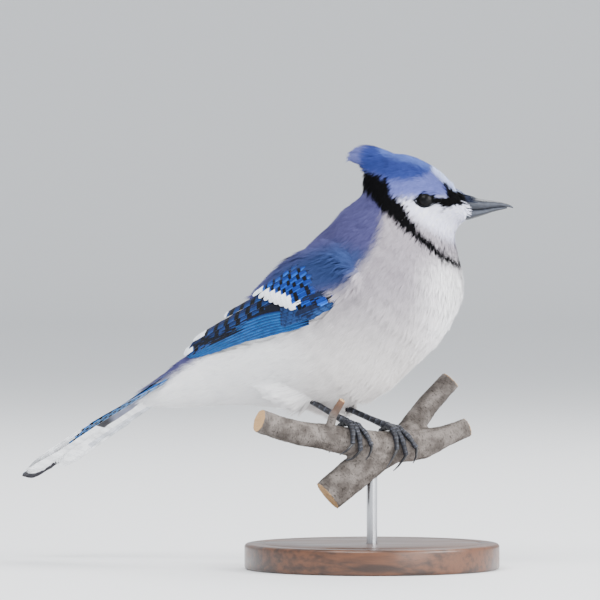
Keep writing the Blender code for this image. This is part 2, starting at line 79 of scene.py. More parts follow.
class Tract(Enum):
    """What a stretch of the bird's outside grows on."""

    BODY = 0
    WING = 1
    CREST = 2


def tone(red: float, green: float, blue: float) -> Colour:
    """The linear colour of a tone whose parts are given from 0 to 255."""
    parts = (c / 255 for c in (red, green, blue))
    return tuple(c / 12.92 if c < 0.04 else ((c + 0.055) / 1.055) ** 2.4 for c in parts)


def eased(values: Rows) -> Rows:
    """Values held between 0 and 1, with a soft start and end."""
    held = np.clip(values, 0.0, 1.0)
    return held * held * (3 - 2 * held)


def unit(rows: Rows) -> Rows:
    """Rows scaled to length 1."""
    return rows / np.maximum(np.linalg.norm(rows, axis=-1, keepdims=True), 1e-9)


def run_through(stations: Path, places: Rows) -> Rows:
    """Reads a table along a smooth curve through its rows.

    Args:
        stations: The table's rows.
        places: Where to read, where 0 is the first row and 1 the next.

    Returns:
        One row for each place.
    """
    table = np.asarray(stations, float)
    last = len(table) - 1
    held = np.clip(np.asarray(places, float), 0, last)
    index = np.minimum(held.astype(int), last - 1)
    part = (held - index)[..., None]
    before, start = table[np.maximum(index - 1, 0)], table[index]
    end, after = table[index + 1], table[np.minimum(index + 2, last)]
    rise, fall = (end - before) / 2, (after - start) / 2
    return (
        (2 * part**3 - 3 * part**2 + 1) * start
        + (part**3 - 2 * part**2 + part) * rise
        + (3 * part**2 - 2 * part**3) * end
        + (part**3 - part**2) * fall
    )


def directions(points: Rows) -> Rows:
    """The unit direction along a line of points at each of them."""
    return unit(np.gradient(points, axis=0))


# Meshes and the values painted on them
def mesh_of(name: str, points: Rows, faces: list) -> Mesh:
    """Makes a mesh with smooth faces from points in millimetres.

    Args:
        name: The mesh's name.
        points: One row for each vertex.
        faces: The vertex numbers of each face.

    Returns:
        The mesh, in metres.
    """
    mesh = bpy.data.meshes.new(name)
    mesh.from_pydata((np.asarray(points) * MM).tolist(), [], faces)
    mesh.shade_smooth()
    mesh.update()
    return mesh


def placed(name: str, mesh: Mesh, *finishes: Material) -> Object:
    """Puts a mesh in the scene as an object.

    Args:
        name: The object's name.
        mesh: Its mesh.
        finishes: Materials for its slots.

    Returns:
        The object.
    """
    obj = bpy.data.objects.new(name, mesh)
    bpy.context.scene.collection.objects.link(obj)
    for finish in finishes:
        mesh.materials.append(finish)
    return obj


def face_outwards(mesh: Mesh) -> Mesh:
    """Turns the faces of closed shells outwards."""
    tool = bmesh.new()
    tool.from_mesh(mesh)
    bmesh.ops.recalc_face_normals(tool, faces=tool.faces)
    tool.to_mesh(mesh)
    tool.free()
    return mesh


FIELD_KEYS = {"FLOAT": ("value", 1), "FLOAT_VECTOR": ("vector", 3), "FLOAT_COLOR": ("color", 4)}


def write_field(mesh: Mesh, name: str, values: Rows, kind: str = "FLOAT") -> None:
    """Stores a value for each vertex of a mesh.

    Args:
        mesh: The mesh.
        name: The attribute's name.
        values: One value or row for each vertex. Colours have three parts.
        kind: The attribute's data type.
    """
    if kind == "FLOAT_COLOR":
        values = np.column_stack([values, np.ones(len(values))])
    layer = mesh.attributes.get(name) or mesh.attributes.new(name, kind, "POINT")
    layer.data.foreach_set(FIELD_KEYS[kind][0], np.ascontiguousarray(values, np.float32).ravel())


def read_field(mesh: Mesh, name: str, kind: str) -> Rows:
    """Reads a value for each vertex of a mesh.

    Args:
        mesh: The mesh.
        name: The attribute's name.
        kind: The attribute's data type.

    Returns:
        One value or row for each vertex.
    """
    key, width = FIELD_KEYS[kind]
    layer = mesh.attributes[name]
    found = np.zeros(len(layer.data) * width, np.float32)
    layer.data.foreach_get(key, found)
    return found.reshape(-1, width) if width > 1 else found


def vertex_points(mesh: Mesh) -> Rows:
    """The vertices of a mesh, in millimetres."""
    found = np.zeros(len(mesh.vertices) * 3, np.float32)
    mesh.vertices.foreach_get("co", found)
    return found.reshape(-1, 3).astype(float) / MM


def vertex_normals(mesh: Mesh) -> Rows:
    """The normals of a mesh's vertices."""
    found = np.zeros(len(mesh.vertices) * 3, np.float32)
    mesh.vertex_normals.foreach_get("vector", found)
    return found.reshape(-1, 3).astype(float)


def move_vertices(mesh: Mesh, points: Rows) -> None:
    """Moves a mesh's vertices to points in millimetres."""
    mesh.vertices.foreach_set("co", (points * MM).astype(np.float32).ravel())
    mesh.update()


def relaxed(values: Rows, edges: Rows, rounds: int, pull: tuple[float, ...] = (0.5,)) -> Rows:
    """Draws each vertex's values towards the mean of its neighbours'.

    Args:
        values: One row for each vertex.
        edges: The two vertex numbers of each edge.
        rounds: How many times.
        pull: How far towards the mean, taken in turn.

    Returns:
        The new rows.
    """
    count = len(values)
    ends, others = np.r_[edges[:, 0], edges[:, 1]], np.r_[edges[:, 1], edges[:, 0]]
    degree = np.maximum(np.bincount(ends, minlength=count), 1)[:, None]
    for _ in range(rounds):
        for share in pull:
            sums = [np.bincount(ends, column[others], count) for column in values.T]
            values = values + share * (np.stack(sums, 1) / degree - values)
    return values


def mesh_edges(mesh: Mesh) -> Rows:
    """The two vertex numbers of each edge of a mesh."""
    found = np.zeros(len(mesh.edges) * 2, np.int32)
    mesh.edges.foreach_get("vertices", found)
    return found.reshape(-1, 2)


def grid_faces(rows: int, columns: int, first: int = 0) -> list:
    """The four-sided faces between rings of vertices that close on themselves.

    Args:
        rows: How many rings.
        columns: How many vertices each ring has.
        first: The first vertex's number.

    Returns:
        The faces.
    """
    faces = []
    for row in range(rows - 1):
        start = first + row * columns
        for k in range(columns):
            after = (k + 1) % columns
            faces.append((start + k, start + after, start + columns + after, start + columns + k))
    return faces


@dataclass
class ShellMaker:
    """Collects closed shells made of rings of points, and the values painted on them."""

    points: list = field(default_factory=list)
    faces: list = field(default_factory=list)
    painted: dict = field(default_factory=dict)
    count: int = 0

    def add(self, rings: Rows, **painted: Rows) -> None:
        """Adds one shell, closed at both ends by a fan to the end ring's middle.

        Args:
            rings: Points by ring, by step round it.
            painted: For each attribute, one value for each point of the rings.
        """
        rows, columns = rings.shape[:2]
        poles = np.stack([rings[0].mean(0), rings[-1].mean(0)])
        self.faces += grid_faces(rows, columns, self.count)
        low, high = self.count + rows * columns, self.count + rows * columns + 1
        end = self.count + (rows - 1) * columns
        for k in range(columns):
            after = (k + 1) % columns
            self.faces.append((low, self.count + after, self.count + k))
            self.faces.append((high, end + k, end + after))
        self.points.append(np.concatenate([rings.reshape(-1, 3), poles]))
        for key, values in painted.items():
            flat = np.broadcast_to(values, (rows, columns)).reshape(-1)
            ends = [np.broadcast_to(values, (rows, columns))[k].mean() for k in (0, -1)]
            self.painted.setdefault(key, []).append(np.r_[flat, ends])
        self.count += rows * columns + 2

    def mesh(self, name: str) -> Mesh:
        """Makes the mesh of all shells so far.

        Args:
            name: The mesh's name.

        Returns:
            The mesh, its faces outwards.
        """
        mesh = mesh_of(name, np.concatenate(self.points), self.faces)
        for key, parts in self.painted.items():
            write_field(mesh, key, np.concatenate(parts))
        return face_outwards(mesh)


def tube_rings(points: Rows, radii: Rows, steps: int, tops: Rows | None = None) -> Rows:
    """Rings round a line of points.

    Args:
        points: The line.
        radii: The radius at each point, or one for each point and step.
        steps: How many points each ring has.
        tops: The way that each ring's first point looks, or None for any way.

    Returns:
        Points by ring, by step round it.
    """
    ahead = directions(points)
    if tops is None:
        guess = np.array((0.0, 0.0, 1.0)) if abs(ahead[0][2]) < 0.9 else np.array((1.0, 0, 0))
        tops = [guess]
        for way in ahead:
            tops.append(unit(tops[-1] - way * (tops[-1] @ way)))
        tops = np.array(tops[1:])
    tops = unit(tops - ahead * (tops * ahead).sum(1, keepdims=True))
    sides = np.cross(ahead, tops)
    angles = 2 * math.pi * np.arange(steps) / steps
    around = tops[:, None] * np.cos(angles)[:, None] + sides[:, None] * np.sin(angles)[:, None]
    reach = radii if np.ndim(radii) == 2 else np.asarray(radii)[:, None]
    return points[:, None] + around * reach[..., None]


def turned_rings(profile: Path, steps: int) -> Rows:
    """Rings of a profile of radius and height turned round the upright line at the origin."""
    angles = 2 * math.pi * np.arange(steps) / steps
    around = np.stack([np.cos(angles), np.sin(angles)], 1)
    return np.array([np.column_stack([around * r, np.full(steps, z)]) for r, z in profile])


def settled(obj: Object, nodes: tuple[str, ...] = ()) -> Object:
    """Gives a finished piece its body, and hides the nodes that it stands for.

    Args:
        obj: The piece.
        nodes: The names of the nodes that it stands for.

    Returns:
        The piece.
    """
    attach(obj, "root")
    if nodes:
        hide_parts(*nodes)
    LOG.info("%s: %d faces", obj.name, len(obj.data.polygons))
    return obj


def node_copy(names: tuple[str, ...], swell: float = 0.0, behind: dict | None = None) -> bmesh.types.BMesh:
    """Copies nodes into one editable mesh, their doubles merged.

    Args:
        names: The nodes.
        swell: How far each is grown along its normals, in millimetres.
        behind: For a node to be cut short, the point and direction of the plane to keep.

    Returns:
        The editable mesh.
    """
    whole = bmesh.new()
    for name in names:
        part = bmesh.new()
        part.from_mesh(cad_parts[name].data)
        bmesh.ops.remove_doubles(part, verts=part.verts, dist=1e-6)
        bmesh.ops.recalc_face_normals(part, faces=part.faces)
        part.normal_update()
        if behind and name in behind:
            point, way = behind[name]
            geometry = [*part.verts, *part.edges, *part.faces]
            bmesh.ops.bisect_plane(part, geom=geometry, plane_co=point, plane_no=way, clear_inner=True)
            bmesh.ops.holes_fill(part, edges=[e for e in part.edges if e.is_boundary])
            bmesh.ops.recalc_face_normals(part, faces=part.faces)
            part.normal_update()
        for vertex in part.verts:
            vertex.co += vertex.normal * swell * MM
        mesh = bpy.data.meshes.new("part")
        part.to_mesh(mesh)
        part.free()
        whole.from_mesh(mesh)
        bpy.data.meshes.remove(mesh)
    return whole


def evened(tool: bmesh.types.BMesh, name: str, cell: float) -> Mesh:
    """Joins overlapping closed shells into one evenly meshed shell.

    Args:
        tool: The shells. It is freed.
        name: The new mesh's name.
        cell: The size of a face, in millimetres.

    Returns:
        The new mesh.
    """
    mesh = bpy.data.meshes.new(name)
    tool.to_mesh(mesh)
    tool.free()
    holder = placed(name, mesh)
    modifier = holder.modifiers.new("even", "REMESH")
    modifier.mode = "VOXEL"
    modifier.voxel_size = cell * MM
    return baked(holder)


def baked(holder: Object) -> Mesh:
    """Makes a plain mesh of an object with modifiers, and removes the object."""
    bpy.context.view_layer.update()
    graph = bpy.context.evaluated_depsgraph_get()
    made = bpy.data.meshes.new_from_object(holder.evaluated_get(graph))
    made.name = holder.name
    old = holder.data
    bpy.data.objects.remove(holder)
    bpy.data.meshes.remove(old)
    return made


# Finishes
class Bench:
    """A node tree with short ways to add to it."""

    def __init__(self, tree: bpy.types.NodeTree) -> None:
        """Starts on a tree."""
        self.tree = tree

    def node(self, kind: str, inputs: dict | None = None, **settings: object) -> Node:
        """Adds a node.

        Args:
            kind: The node's type.
            inputs: For each input's name or number, a value or the output that feeds it.
            settings: The node's own settings.

        Returns:
            The node.
        """
        made = self.tree.nodes.new(kind)
        for key, value in settings.items():
            setattr(made, key, value)
        for key, value in (inputs or {}).items():
            self.feed(made, key, value)
        return made

    def feed(self, node: Node, key: str | int, value: object) -> None:
        """Sets an input or links an output to it.

        Args:
            node: The node.
            key: The input's name or number.
            value: A value or an output.
        """
        named = [s for s in node.inputs if s.enabled and s.name == key]
        socket = node.inputs[key] if isinstance(key, int) else named[0]
        if isinstance(value, Socket):
            self.tree.links.new(value, socket)
        elif hasattr(socket.default_value, "__len__") and not isinstance(value, str):
            held = list(value)
            socket.default_value = held + [1.0] * (len(socket.default_value) - len(held))
        else:
            socket.default_value = value

    def out(self, node: Node, key: str | int = 0) -> Socket:
        """A node's output by name or number, where only those in use count."""
        if isinstance(key, int):
            return node.outputs[key]
        return [s for s in node.outputs if s.enabled and s.name == key][0]

    def math(self, operation: str, first: object, second: object = 0.0, clamp: bool = False) -> Socket:
        """The result of a sum."""
        inputs = {0: first, 1: second}
        return self.node("ShaderNodeMath", inputs, operation=operation, use_clamp=clamp).outputs[0]

    def value(self, name: str, part: str = "Fac") -> Socket:
        """A value painted on the piece."""
        return self.out(self.node("ShaderNodeAttribute", attribute_name=name), part)

    def mix(self, share: object, first: object, second: object, way: str = "MIX") -> Socket:
        """Two colours mixed."""
        inputs = {0: share, 6: first, 7: second}
        return self.node("ShaderNodeMix", inputs, data_type="RGBA", blend_type=way).outputs[2]

    def between(
        self, value: object, low: float, high: float, to_low: float = 0.0, to_high: float = 1.0
    ) -> Socket:
        """A value's range stretched to another range, held at its ends."""
        inputs = {0: value, 1: low, 2: high, 3: to_low, 4: to_high}
        made = self.node("ShaderNodeMapRange", inputs, interpolation_type="SMOOTHSTEP")
        return made.outputs[0]

    def place(self) -> Socket:
        """The place on the object."""
        return self.out(self.node("ShaderNodeTexCoord"), "Object")

    def grain(
        self, where: object, size: float, detail: float = 3.0, stretch: tuple = (1, 1, 1)
    ) -> Socket:
        """Cloudy noise from 0 to 1.

        Args:
            where: The place that it is read at.
            size: How big its lumps are, in the place's own unit.
            detail: How many finer layers it has.
            stretch: How much its lumps are stretched each way.

        Returns:
            The noise.
        """
        scale = tuple(1 / (size * s) for s in stretch)
        moved = self.node("ShaderNodeMapping", {"Vector": where, "Scale": scale}).outputs[0]
        return self.node("ShaderNodeTexNoise", {"Vector": moved, "Scale": 1.0, "Detail": detail}).outputs[0]

    def vector(self, x: object, y: object, z: object = 0.0) -> Socket:
        """A place made of three values."""
        return self.node("ShaderNodeCombineXYZ", {0: x, 1: y, 2: z}).outputs[0]

    def bump(self, height: object, depth: float) -> Socket:
        """A bumpy normal, of a depth in metres."""
        inputs = {"Height": height, "Distance": depth, "Strength": 1.0}
        return self.out(self.node("ShaderNodeBump", inputs), "Normal")


@dataclass(frozen=True)
class Finish:
    """A material's name and the settings of its shader that are the same all over it."""

    name: str
    roughness: float = 0.7
    specular: float = 0.4
    coat: float = 0.0
    coat_roughness: float = 0.05
    sheen: float = 0.0
    metallic: float = 0.0

    def made(self) -> Material:
        """Makes the material.

        Returns:
            The material.
        """
        material = bpy.data.materials.new(self.name)
        material.use_nodes = True
        material.node_tree.nodes.clear()
        bench = Bench(material.node_tree)
        shader = bench.node(
            "ShaderNodeBsdfPrincipled",
            {
                "Roughness": self.roughness,
                "Specular IOR Level": self.specular,
                "Coat Weight": self.coat,
                "Coat Roughness": self.coat_roughness,
                "Sheen Weight": self.sheen,
                "Metallic": self.metallic,
            },
        )
        out = bench.node("ShaderNodeOutputMaterial")
        bench.feed(out, "Surface", shader.outputs[0])
        self.dress(bench, shader)
        return material

    def vary(self, bench: Bench, shader: Node, value: Socket, less: float, more: float) -> None:
        """Lets the roughness change with a value.

        Args:
            bench: The material's nodes.
            shader: Its shader.
            value: What it changes with.
            less: How much smoother it gets at low values.
            more: How much rougher it gets at high ones.
        """
        rough = bench.between(value, 0.3, 0.7, self.roughness - less, self.roughness + more)
        bench.feed(shader, "Roughness", rough)

    def dress(self, bench: Bench, shader: Node) -> None:
        """Adds the colour, roughness and relief that change over the surface."""
        raise NotImplementedError


@dataclass(frozen=True)
class TuftFinish(Finish):
    """Soft feather barbs in the markings' colours, with painted shade that darkens them at their roots,
    under the tufts that overlap them, and lightens their tips a little.
    """

    root_shade: float = 0.94
    tip_shade: float = 1.04
    barb_change: float = 0.08

    def dress(self, bench: Bench, shader: Node) -> None:
        """Colours the barbs by the marking under them, with painted shade from root to tip and a change from
        barb to barb.
        """
        # Painted shade: darker at the roots, which lie under the overlapping tufts, and a little lighter at
        # the tips.
        length = bench.between(bench.value("along"), 0, 1, self.root_shade, self.tip_shade)
        low, high = 1 - self.barb_change / 2, 1 + self.barb_change / 2
        each = bench.between(bench.value("barb"), 0, 1, low, high)
        shade = bench.math("MULTIPLY", length, each)
        grey = bench.vector(shade, shade, shade)
        colour = bench.mix(1.0, bench.value("tint", "Color"), grey, "MULTIPLY")
        bench.feed(shader, "Base Color", colour)


@dataclass(frozen=True)
class SkinFinish(Finish):
    """Skin and down under the coat, in the same markings, a little darker as painted shade under the tufts.
    """

    shade: float = 0.96
    down_size: float = 0.0006

    def dress(self, bench: Bench, shader: Node) -> None:
        """Colours the skin by the marking, a little darkened as painted shade, with a downy grain."""
        down = bench.grain(bench.place(), self.down_size)
        # A downy grain, and painted shade: the skin a little darker than the coat over it.
        shade = bench.between(down, 0.2, 0.8, self.shade * 0.85, self.shade * 1.1)
        grey = bench.vector(shade, shade, shade)
        colour = bench.mix(1.0, bench.value("tint", "Color"), grey, "MULTIPLY")
        bench.feed(shader, "Base Color", colour)
        bench.feed(shader, "Normal", bench.bump(down, 0.0002))


@dataclass(frozen=True)
class LidFinish(Finish):
    """The bare black skin of the eyelids, beaded along its rim."""

    dark: Colour = tone(6, 7, 10)
    pale: Colour = tone(22, 24, 31)

    def dress(self, bench: Bench, shader: Node) -> None:
        """Adds fine beads and a paler grain."""
        beads = bench.grain(bench.place(), 0.00028, 2.0)
        colour = bench.mix(bench.between(beads, 0.45, 0.75), self.dark, self.pale)
        bench.feed(shader, "Base Color", colour)
        bench.feed(shader, "Normal", bench.bump(beads, 0.00012))


@dataclass(frozen=True)
class VaneFinish(Finish):
    """A flight feather's vane: its webs, bars, pale tip and shaft, by the distance from its tip."""

    outer_tone: Colour = tone(52, 110, 190)
    edge_tone: Colour = tone(90, 160, 225)
    inner_tone: Colour = tone(40, 46, 66)
    bar_tone: Colour = tone(5, 6, 11)
    tip_tone: Colour = tone(236, 240, 246)
    under_tone: Colour = tone(128, 132, 146)
    under_outer_tone: Colour = tone(128, 132, 146)
    dark_under_tone: Colour = tone(34, 32, 40)
    dusky_length: float = 15.0
    dusky_slope: float = 6.0
    bar_pitch: float = 5.4
    bar_share: float = 0.3
    bar_depth: float = 1.0
    inner_barred: float = 0.0
    edge_start: float = 0.55

    def dress(self, bench: Bench, shader: Node) -> None:
        """Paints the webs, then the bars, the tip, the underside and the shaft."""
        back, across = bench.value("from_tip"), bench.value("across")
        white, phase = bench.value("white"), bench.value("phase")
        away = bench.math("ABSOLUTE", across)
        slant = bench.math("SUBTRACT", back, bench.math("MULTIPLY", away, 1.6))
        lines = bench.grain(bench.vector(slant, away, phase), 1.0, 2.0, (0.28, 0.9, 9.0))
        cloud = bench.grain(bench.vector(back, across, phase), 4.0, 2.0)
        edge = bench.between(across, self.edge_start, 1.0)
        outer = bench.mix(edge, self.outer_tone, self.edge_tone)
        is_outer = bench.between(across, -0.08, 0.08)
        colour = bench.mix(is_outer, self.inner_tone, outer)
        wobble = bench.math("MULTIPLY", bench.math("SUBTRACT", lines, 0.5), 1.1)
        along = bench.math("ADD", bench.math("SUBTRACT", back, white), wobble)
        pitch = bench.math("ADD", bench.value("pitch"), self.bar_pitch)
        turn = bench.math("FRACT", bench.math("DIVIDE", bench.math("ADD", along, phase), pitch))
        centred = bench.math("ABSOLUTE", bench.math("SUBTRACT", turn, 0.5))
        half = self.bar_share / 2
        bar = bench.between(centred, half + 0.03, half - 0.03)
        webs = bench.math("MAXIMUM", is_outer, self.inner_barred)
        bar = bench.math("MULTIPLY", bench.math("MULTIPLY", bar, webs), self.bar_depth)
        colour = bench.mix(bar, colour, self.bar_tone)
        pale_web = bench.math("MULTIPLY", is_outer, bench.value("pale_outer"))
        colour = bench.mix(pale_web, colour, self.tip_tone)
        tipped = bench.between(along, 0.25, -0.25)
        has_tip = bench.between(white, 0.05, 0.2)
        pale = bench.math("MULTIPLY", tipped, has_tip)
        colour = bench.mix(pale, colour, self.tip_tone)
        below = bench.mix(is_outer, self.under_tone, self.under_outer_tone)
        below = bench.mix(bench.value("dark_under"), below, self.dark_under_tone)
        slope = bench.math("ADD", along, bench.math("MULTIPLY", away, self.dusky_slope))
        dusky = bench.between(slope, self.dusky_length, 0.6 * self.dusky_length)
        dusky = bench.math("MULTIPLY", dusky, has_tip)
        dusky = bench.math("MULTIPLY", dusky, bench.math("SUBTRACT", 1.0, is_outer))
        below = bench.mix(dusky, below, self.dark_under_tone)
        below = bench.mix(pale_web, below, self.tip_tone)
        below = bench.mix(pale, below, self.tip_tone)
        colour = bench.mix(bench.value("under"), colour, below)
        shade = bench.between(bench.math("ADD", lines, cloud), 0.7, 1.3, 0.72, 1.2)
        colour = bench.mix(1.0, colour, bench.vector(shade, shade, shade), "MULTIPLY")
        shaft = bench.between(away, 0.09, 0.04)
        shaft = bench.math("MULTIPLY", shaft, bench.between(pale, 0.6, 0.3, 0.0, 0.85))
        colour = bench.mix(shaft, colour, self.bar_tone)
        bench.feed(shader, "Base Color", colour)
        bench.feed(shader, "Normal", bench.bump(lines, 0.00012))
        self.vary(bench, shader, lines, 0.1, 0.12)


@dataclass(frozen=True)
class BillFinish(Finish):
    """Dark horn, paler along its cutting edges and towards its point, partly worn horn and partly a painted
    sheen, with faint growth lines.
    """

    dark: Colour = tone(14, 15, 20)
    mid: Colour = tone(44, 48, 58)
    pale: Colour = tone(78, 84, 98)

    def dress(self, bench: Bench, shader: Node) -> None:
        """Adds streaks along the bill, and pale edges, broken by small wear marks, that are partly worn horn
        and partly a painted sheen.
        """
        place = bench.place()
        streaks = bench.grain(place, 0.0005, 4.0, (7.0, 1.0, 0.8))
        cloud = bench.grain(place, 0.0022, 3.0)
        base = bench.mix(bench.between(streaks, 0.3, 0.75), self.dark, self.mid)
        # The pale edges: worn horn and a painted sheen along the cutting edges and towards the point.
        edge = bench.value("edge")
        worn = bench.math("MULTIPLY", edge, bench.between(cloud, 0.3, 0.7, 0.55, 1.0))
        colour = bench.mix(worn, base, self.pale)
        bench.feed(shader, "Base Color", colour)
        bench.feed(shader, "Normal", bench.bump(streaks, 0.00006))
        self.vary(bench, shader, cloud, 0.08, 0.12)


@dataclass(frozen=True)
class ClawFinish(Finish):
    """Polished black horn with fine grooves along it."""

    dark: Colour = tone(16, 17, 21)
    pale: Colour = tone(74, 76, 84)

    def dress(self, bench: Bench, shader: Node) -> None:
        """Adds grooves and a paler point."""
        grooves = bench.grain(bench.place(), 0.0003, 3.0, (1, 1, 3))
        tip = bench.math("MULTIPLY", bench.between(bench.value("along"), 0.45, 1.0), 0.6)
        share = bench.math("ADD", tip, bench.between(grooves, 0.5, 0.9, 0, 0.5), True)
        bench.feed(shader, "Base Color", bench.mix(share, self.dark, self.pale))
        bench.feed(shader, "Normal", bench.bump(grooves, 0.00005))


@dataclass(frozen=True)
class EyeFinish(Finish):
    """A dark brown iris round a black pupil, under a clear wet surface."""

    pupil: float = 1.75
    iris: float = 3.0
    black: Colour = tone(5, 5, 7)
    inner_tone: Colour = tone(8, 7, 8)
    outer_tone: Colour = tone(16, 13, 13)

    def dress(self, bench: Bench, shader: Node) -> None:
        """Paints the pupil, the rayed iris and the black rim by the distance from the eye's axis."""
        out, turn = bench.value("off_axis"), bench.value("turn")
        spread = bench.vector(bench.math("MULTIPLY", out, 0.6), bench.math("MULTIPLY", turn, 6.0))
        rays = bench.grain(spread, 0.6, 3.0)
        iris = bench.mix(bench.between(rays, 0.3, 0.7), self.inner_tone, self.outer_tone)
        iris = bench.mix(bench.between(out, self.iris - 0.5, self.iris), iris, self.black)
        colour = bench.mix(bench.between(out, self.pupil - 0.1, self.pupil + 0.1), self.black, iris)
        bench.feed(shader, "Base Color", colour)


@dataclass(frozen=True)
class ScuteFinish(Finish):
    """Black-grey leg scales with pale worn edges and dark joints."""

    dark: Colour = tone(10, 11, 15)
    mid: Colour = tone(32, 34, 42)
    pale: Colour = tone(92, 95, 108)

    def dress(self, bench: Bench, shader: Node) -> None:
        """Paints each scale from its dark joint to its pale edge."""
        scale, grain = bench.value("scale"), bench.grain(bench.place(), 0.0006, 4.0)
        base = bench.mix(bench.between(scale, 0.05, 0.5), self.dark, self.mid)
        worn = bench.math("MULTIPLY", bench.between(scale, 0.6, 0.98), bench.between(grain, 0.4, 0.6))
        colour = bench.mix(worn, base, self.pale)
        beads = bench.grain(bench.place(), 0.00035, 2.0)
        colour = bench.mix(bench.between(beads, 0.52, 0.7, 0.0, 0.6), colour, self.dark)
        bench.feed(shader, "Base Color", colour)
        bench.feed(shader, "Normal", bench.bump(beads, 0.0001))


@dataclass(frozen=True)
class BarkFinish(Finish):
    """Grey-brown bark with short cross marks, and pale cut ends with growth rings."""

    dark: Colour = tone(46, 41, 38)
    mid: Colour = tone(80, 74, 70)
    pale: Colour = tone(120, 113, 108)
    rust: Colour = tone(128, 84, 56)
    cut: Colour = tone(196, 160, 116)
    cut_dark: Colour = tone(150, 112, 74)

    def dress(self, bench: Bench, shader: Node) -> None:
        """Mixes lichen-pale patches, dark cross marks and rusty twigs, then the cut ends."""
        place = bench.place()
        along, around = bench.value("along"), bench.value("around")
        skin = bench.vector(along, around)
        cloud = bench.grain(place, 0.006, 5.0)
        marks = bench.grain(skin, 1.0, 3.0, (0.7, 2.4, 1.0))
        fine = bench.grain(place, 0.0009, 5.0)
        colour = bench.mix(bench.between(cloud, 0.35, 0.65), self.mid, self.pale)
        colour = bench.mix(bench.between(fine, 0.5, 0.78, 0.0, 0.65), colour, self.dark)
        colour = bench.mix(bench.between(marks, 0.56, 0.7, 0.0, 0.85), colour, self.dark)
        patches = bench.between(cloud, 0.3, 0.6, 0.4, 1.0)
        colour = bench.mix(bench.math("MULTIPLY", bench.value("rusty"), patches), colour, self.rust)
        rings = bench.math("ADD", bench.value("ring"), bench.math("MULTIPLY", fine, 0.5))
        rings = bench.math("SINE", bench.math("MULTIPLY", rings, 8.0))
        wood = bench.mix(bench.between(rings, 0.0, 1.0, 0.0, 0.8), self.cut, self.cut_dark)
        colour = bench.mix(bench.value("cut"), colour, wood)
        relief = bench.math("ADD", bench.math("MULTIPLY", marks, 0.8), fine)
        bench.feed(shader, "Base Color", colour)
        bench.feed(shader, "Normal", bench.bump(relief, 0.0004))


@dataclass(frozen=True)
class WoodFinish(Finish):
    """Dark turned wood with long grain under a satin varnish."""

    dark: Colour = tone(46, 27, 17)
    mid: Colour = tone(92, 56, 34)

    def dress(self, bench: Bench, shader: Node) -> None:
        """Adds long grain, pores and a slight unevenness of the varnish."""
        place = bench.place()
        grain = bench.grain(place, 0.0022, 5.0, (14.0, 1.0, 1.0))
        broad = bench.grain(place, 0.012, 2.0, (6.0, 1.0, 1.0))
        pores = bench.grain(place, 0.0006, 2.0, (10.0, 1.0, 1.0))
        share = bench.between(bench.math("ADD", grain, broad), 0.75, 1.25)
        colour = bench.mix(share, self.dark, self.mid)
        colour = bench.mix(bench.between(pores, 0.62, 0.8, 0.0, 0.7), colour, self.dark)
        bench.feed(shader, "Base Color", colour)
        self.vary(bench, shader, broad, 0.06, 0.08)
        bench.feed(shader, "Normal", bench.bump(pores, 0.00005))


@dataclass(frozen=True)
class SteelFinish(Finish):
    """Drawn steel with fine lines along the rod."""

    dark: Colour = tone(150, 152, 156)
    pale: Colour = tone(206, 208, 212)

    def dress(self, bench: Bench, shader: Node) -> None:
        """Adds drawing lines and small changes of gloss."""
        lines = bench.grain(bench.place(), 0.0002, 3.0, (1.0, 1.0, 60.0))
        bench.feed(shader, "Base Color", bench.mix(lines, self.dark, self.pale))
        self.vary(bench, shader, lines, 0.05, 0.1)
        bench.feed(shader, "Normal", bench.bump(lines, 0.00001))


@dataclass(frozen=True)
class RoomFinish(Finish):
    """A plain pale floor and wall."""

    colour: Colour = (0.80, 0.81, 0.82)

    def dress(self, bench: Bench, shader: Node) -> None:
        """Gives the room one plain colour."""
        bench.feed(shader, "Base Color", self.colour)


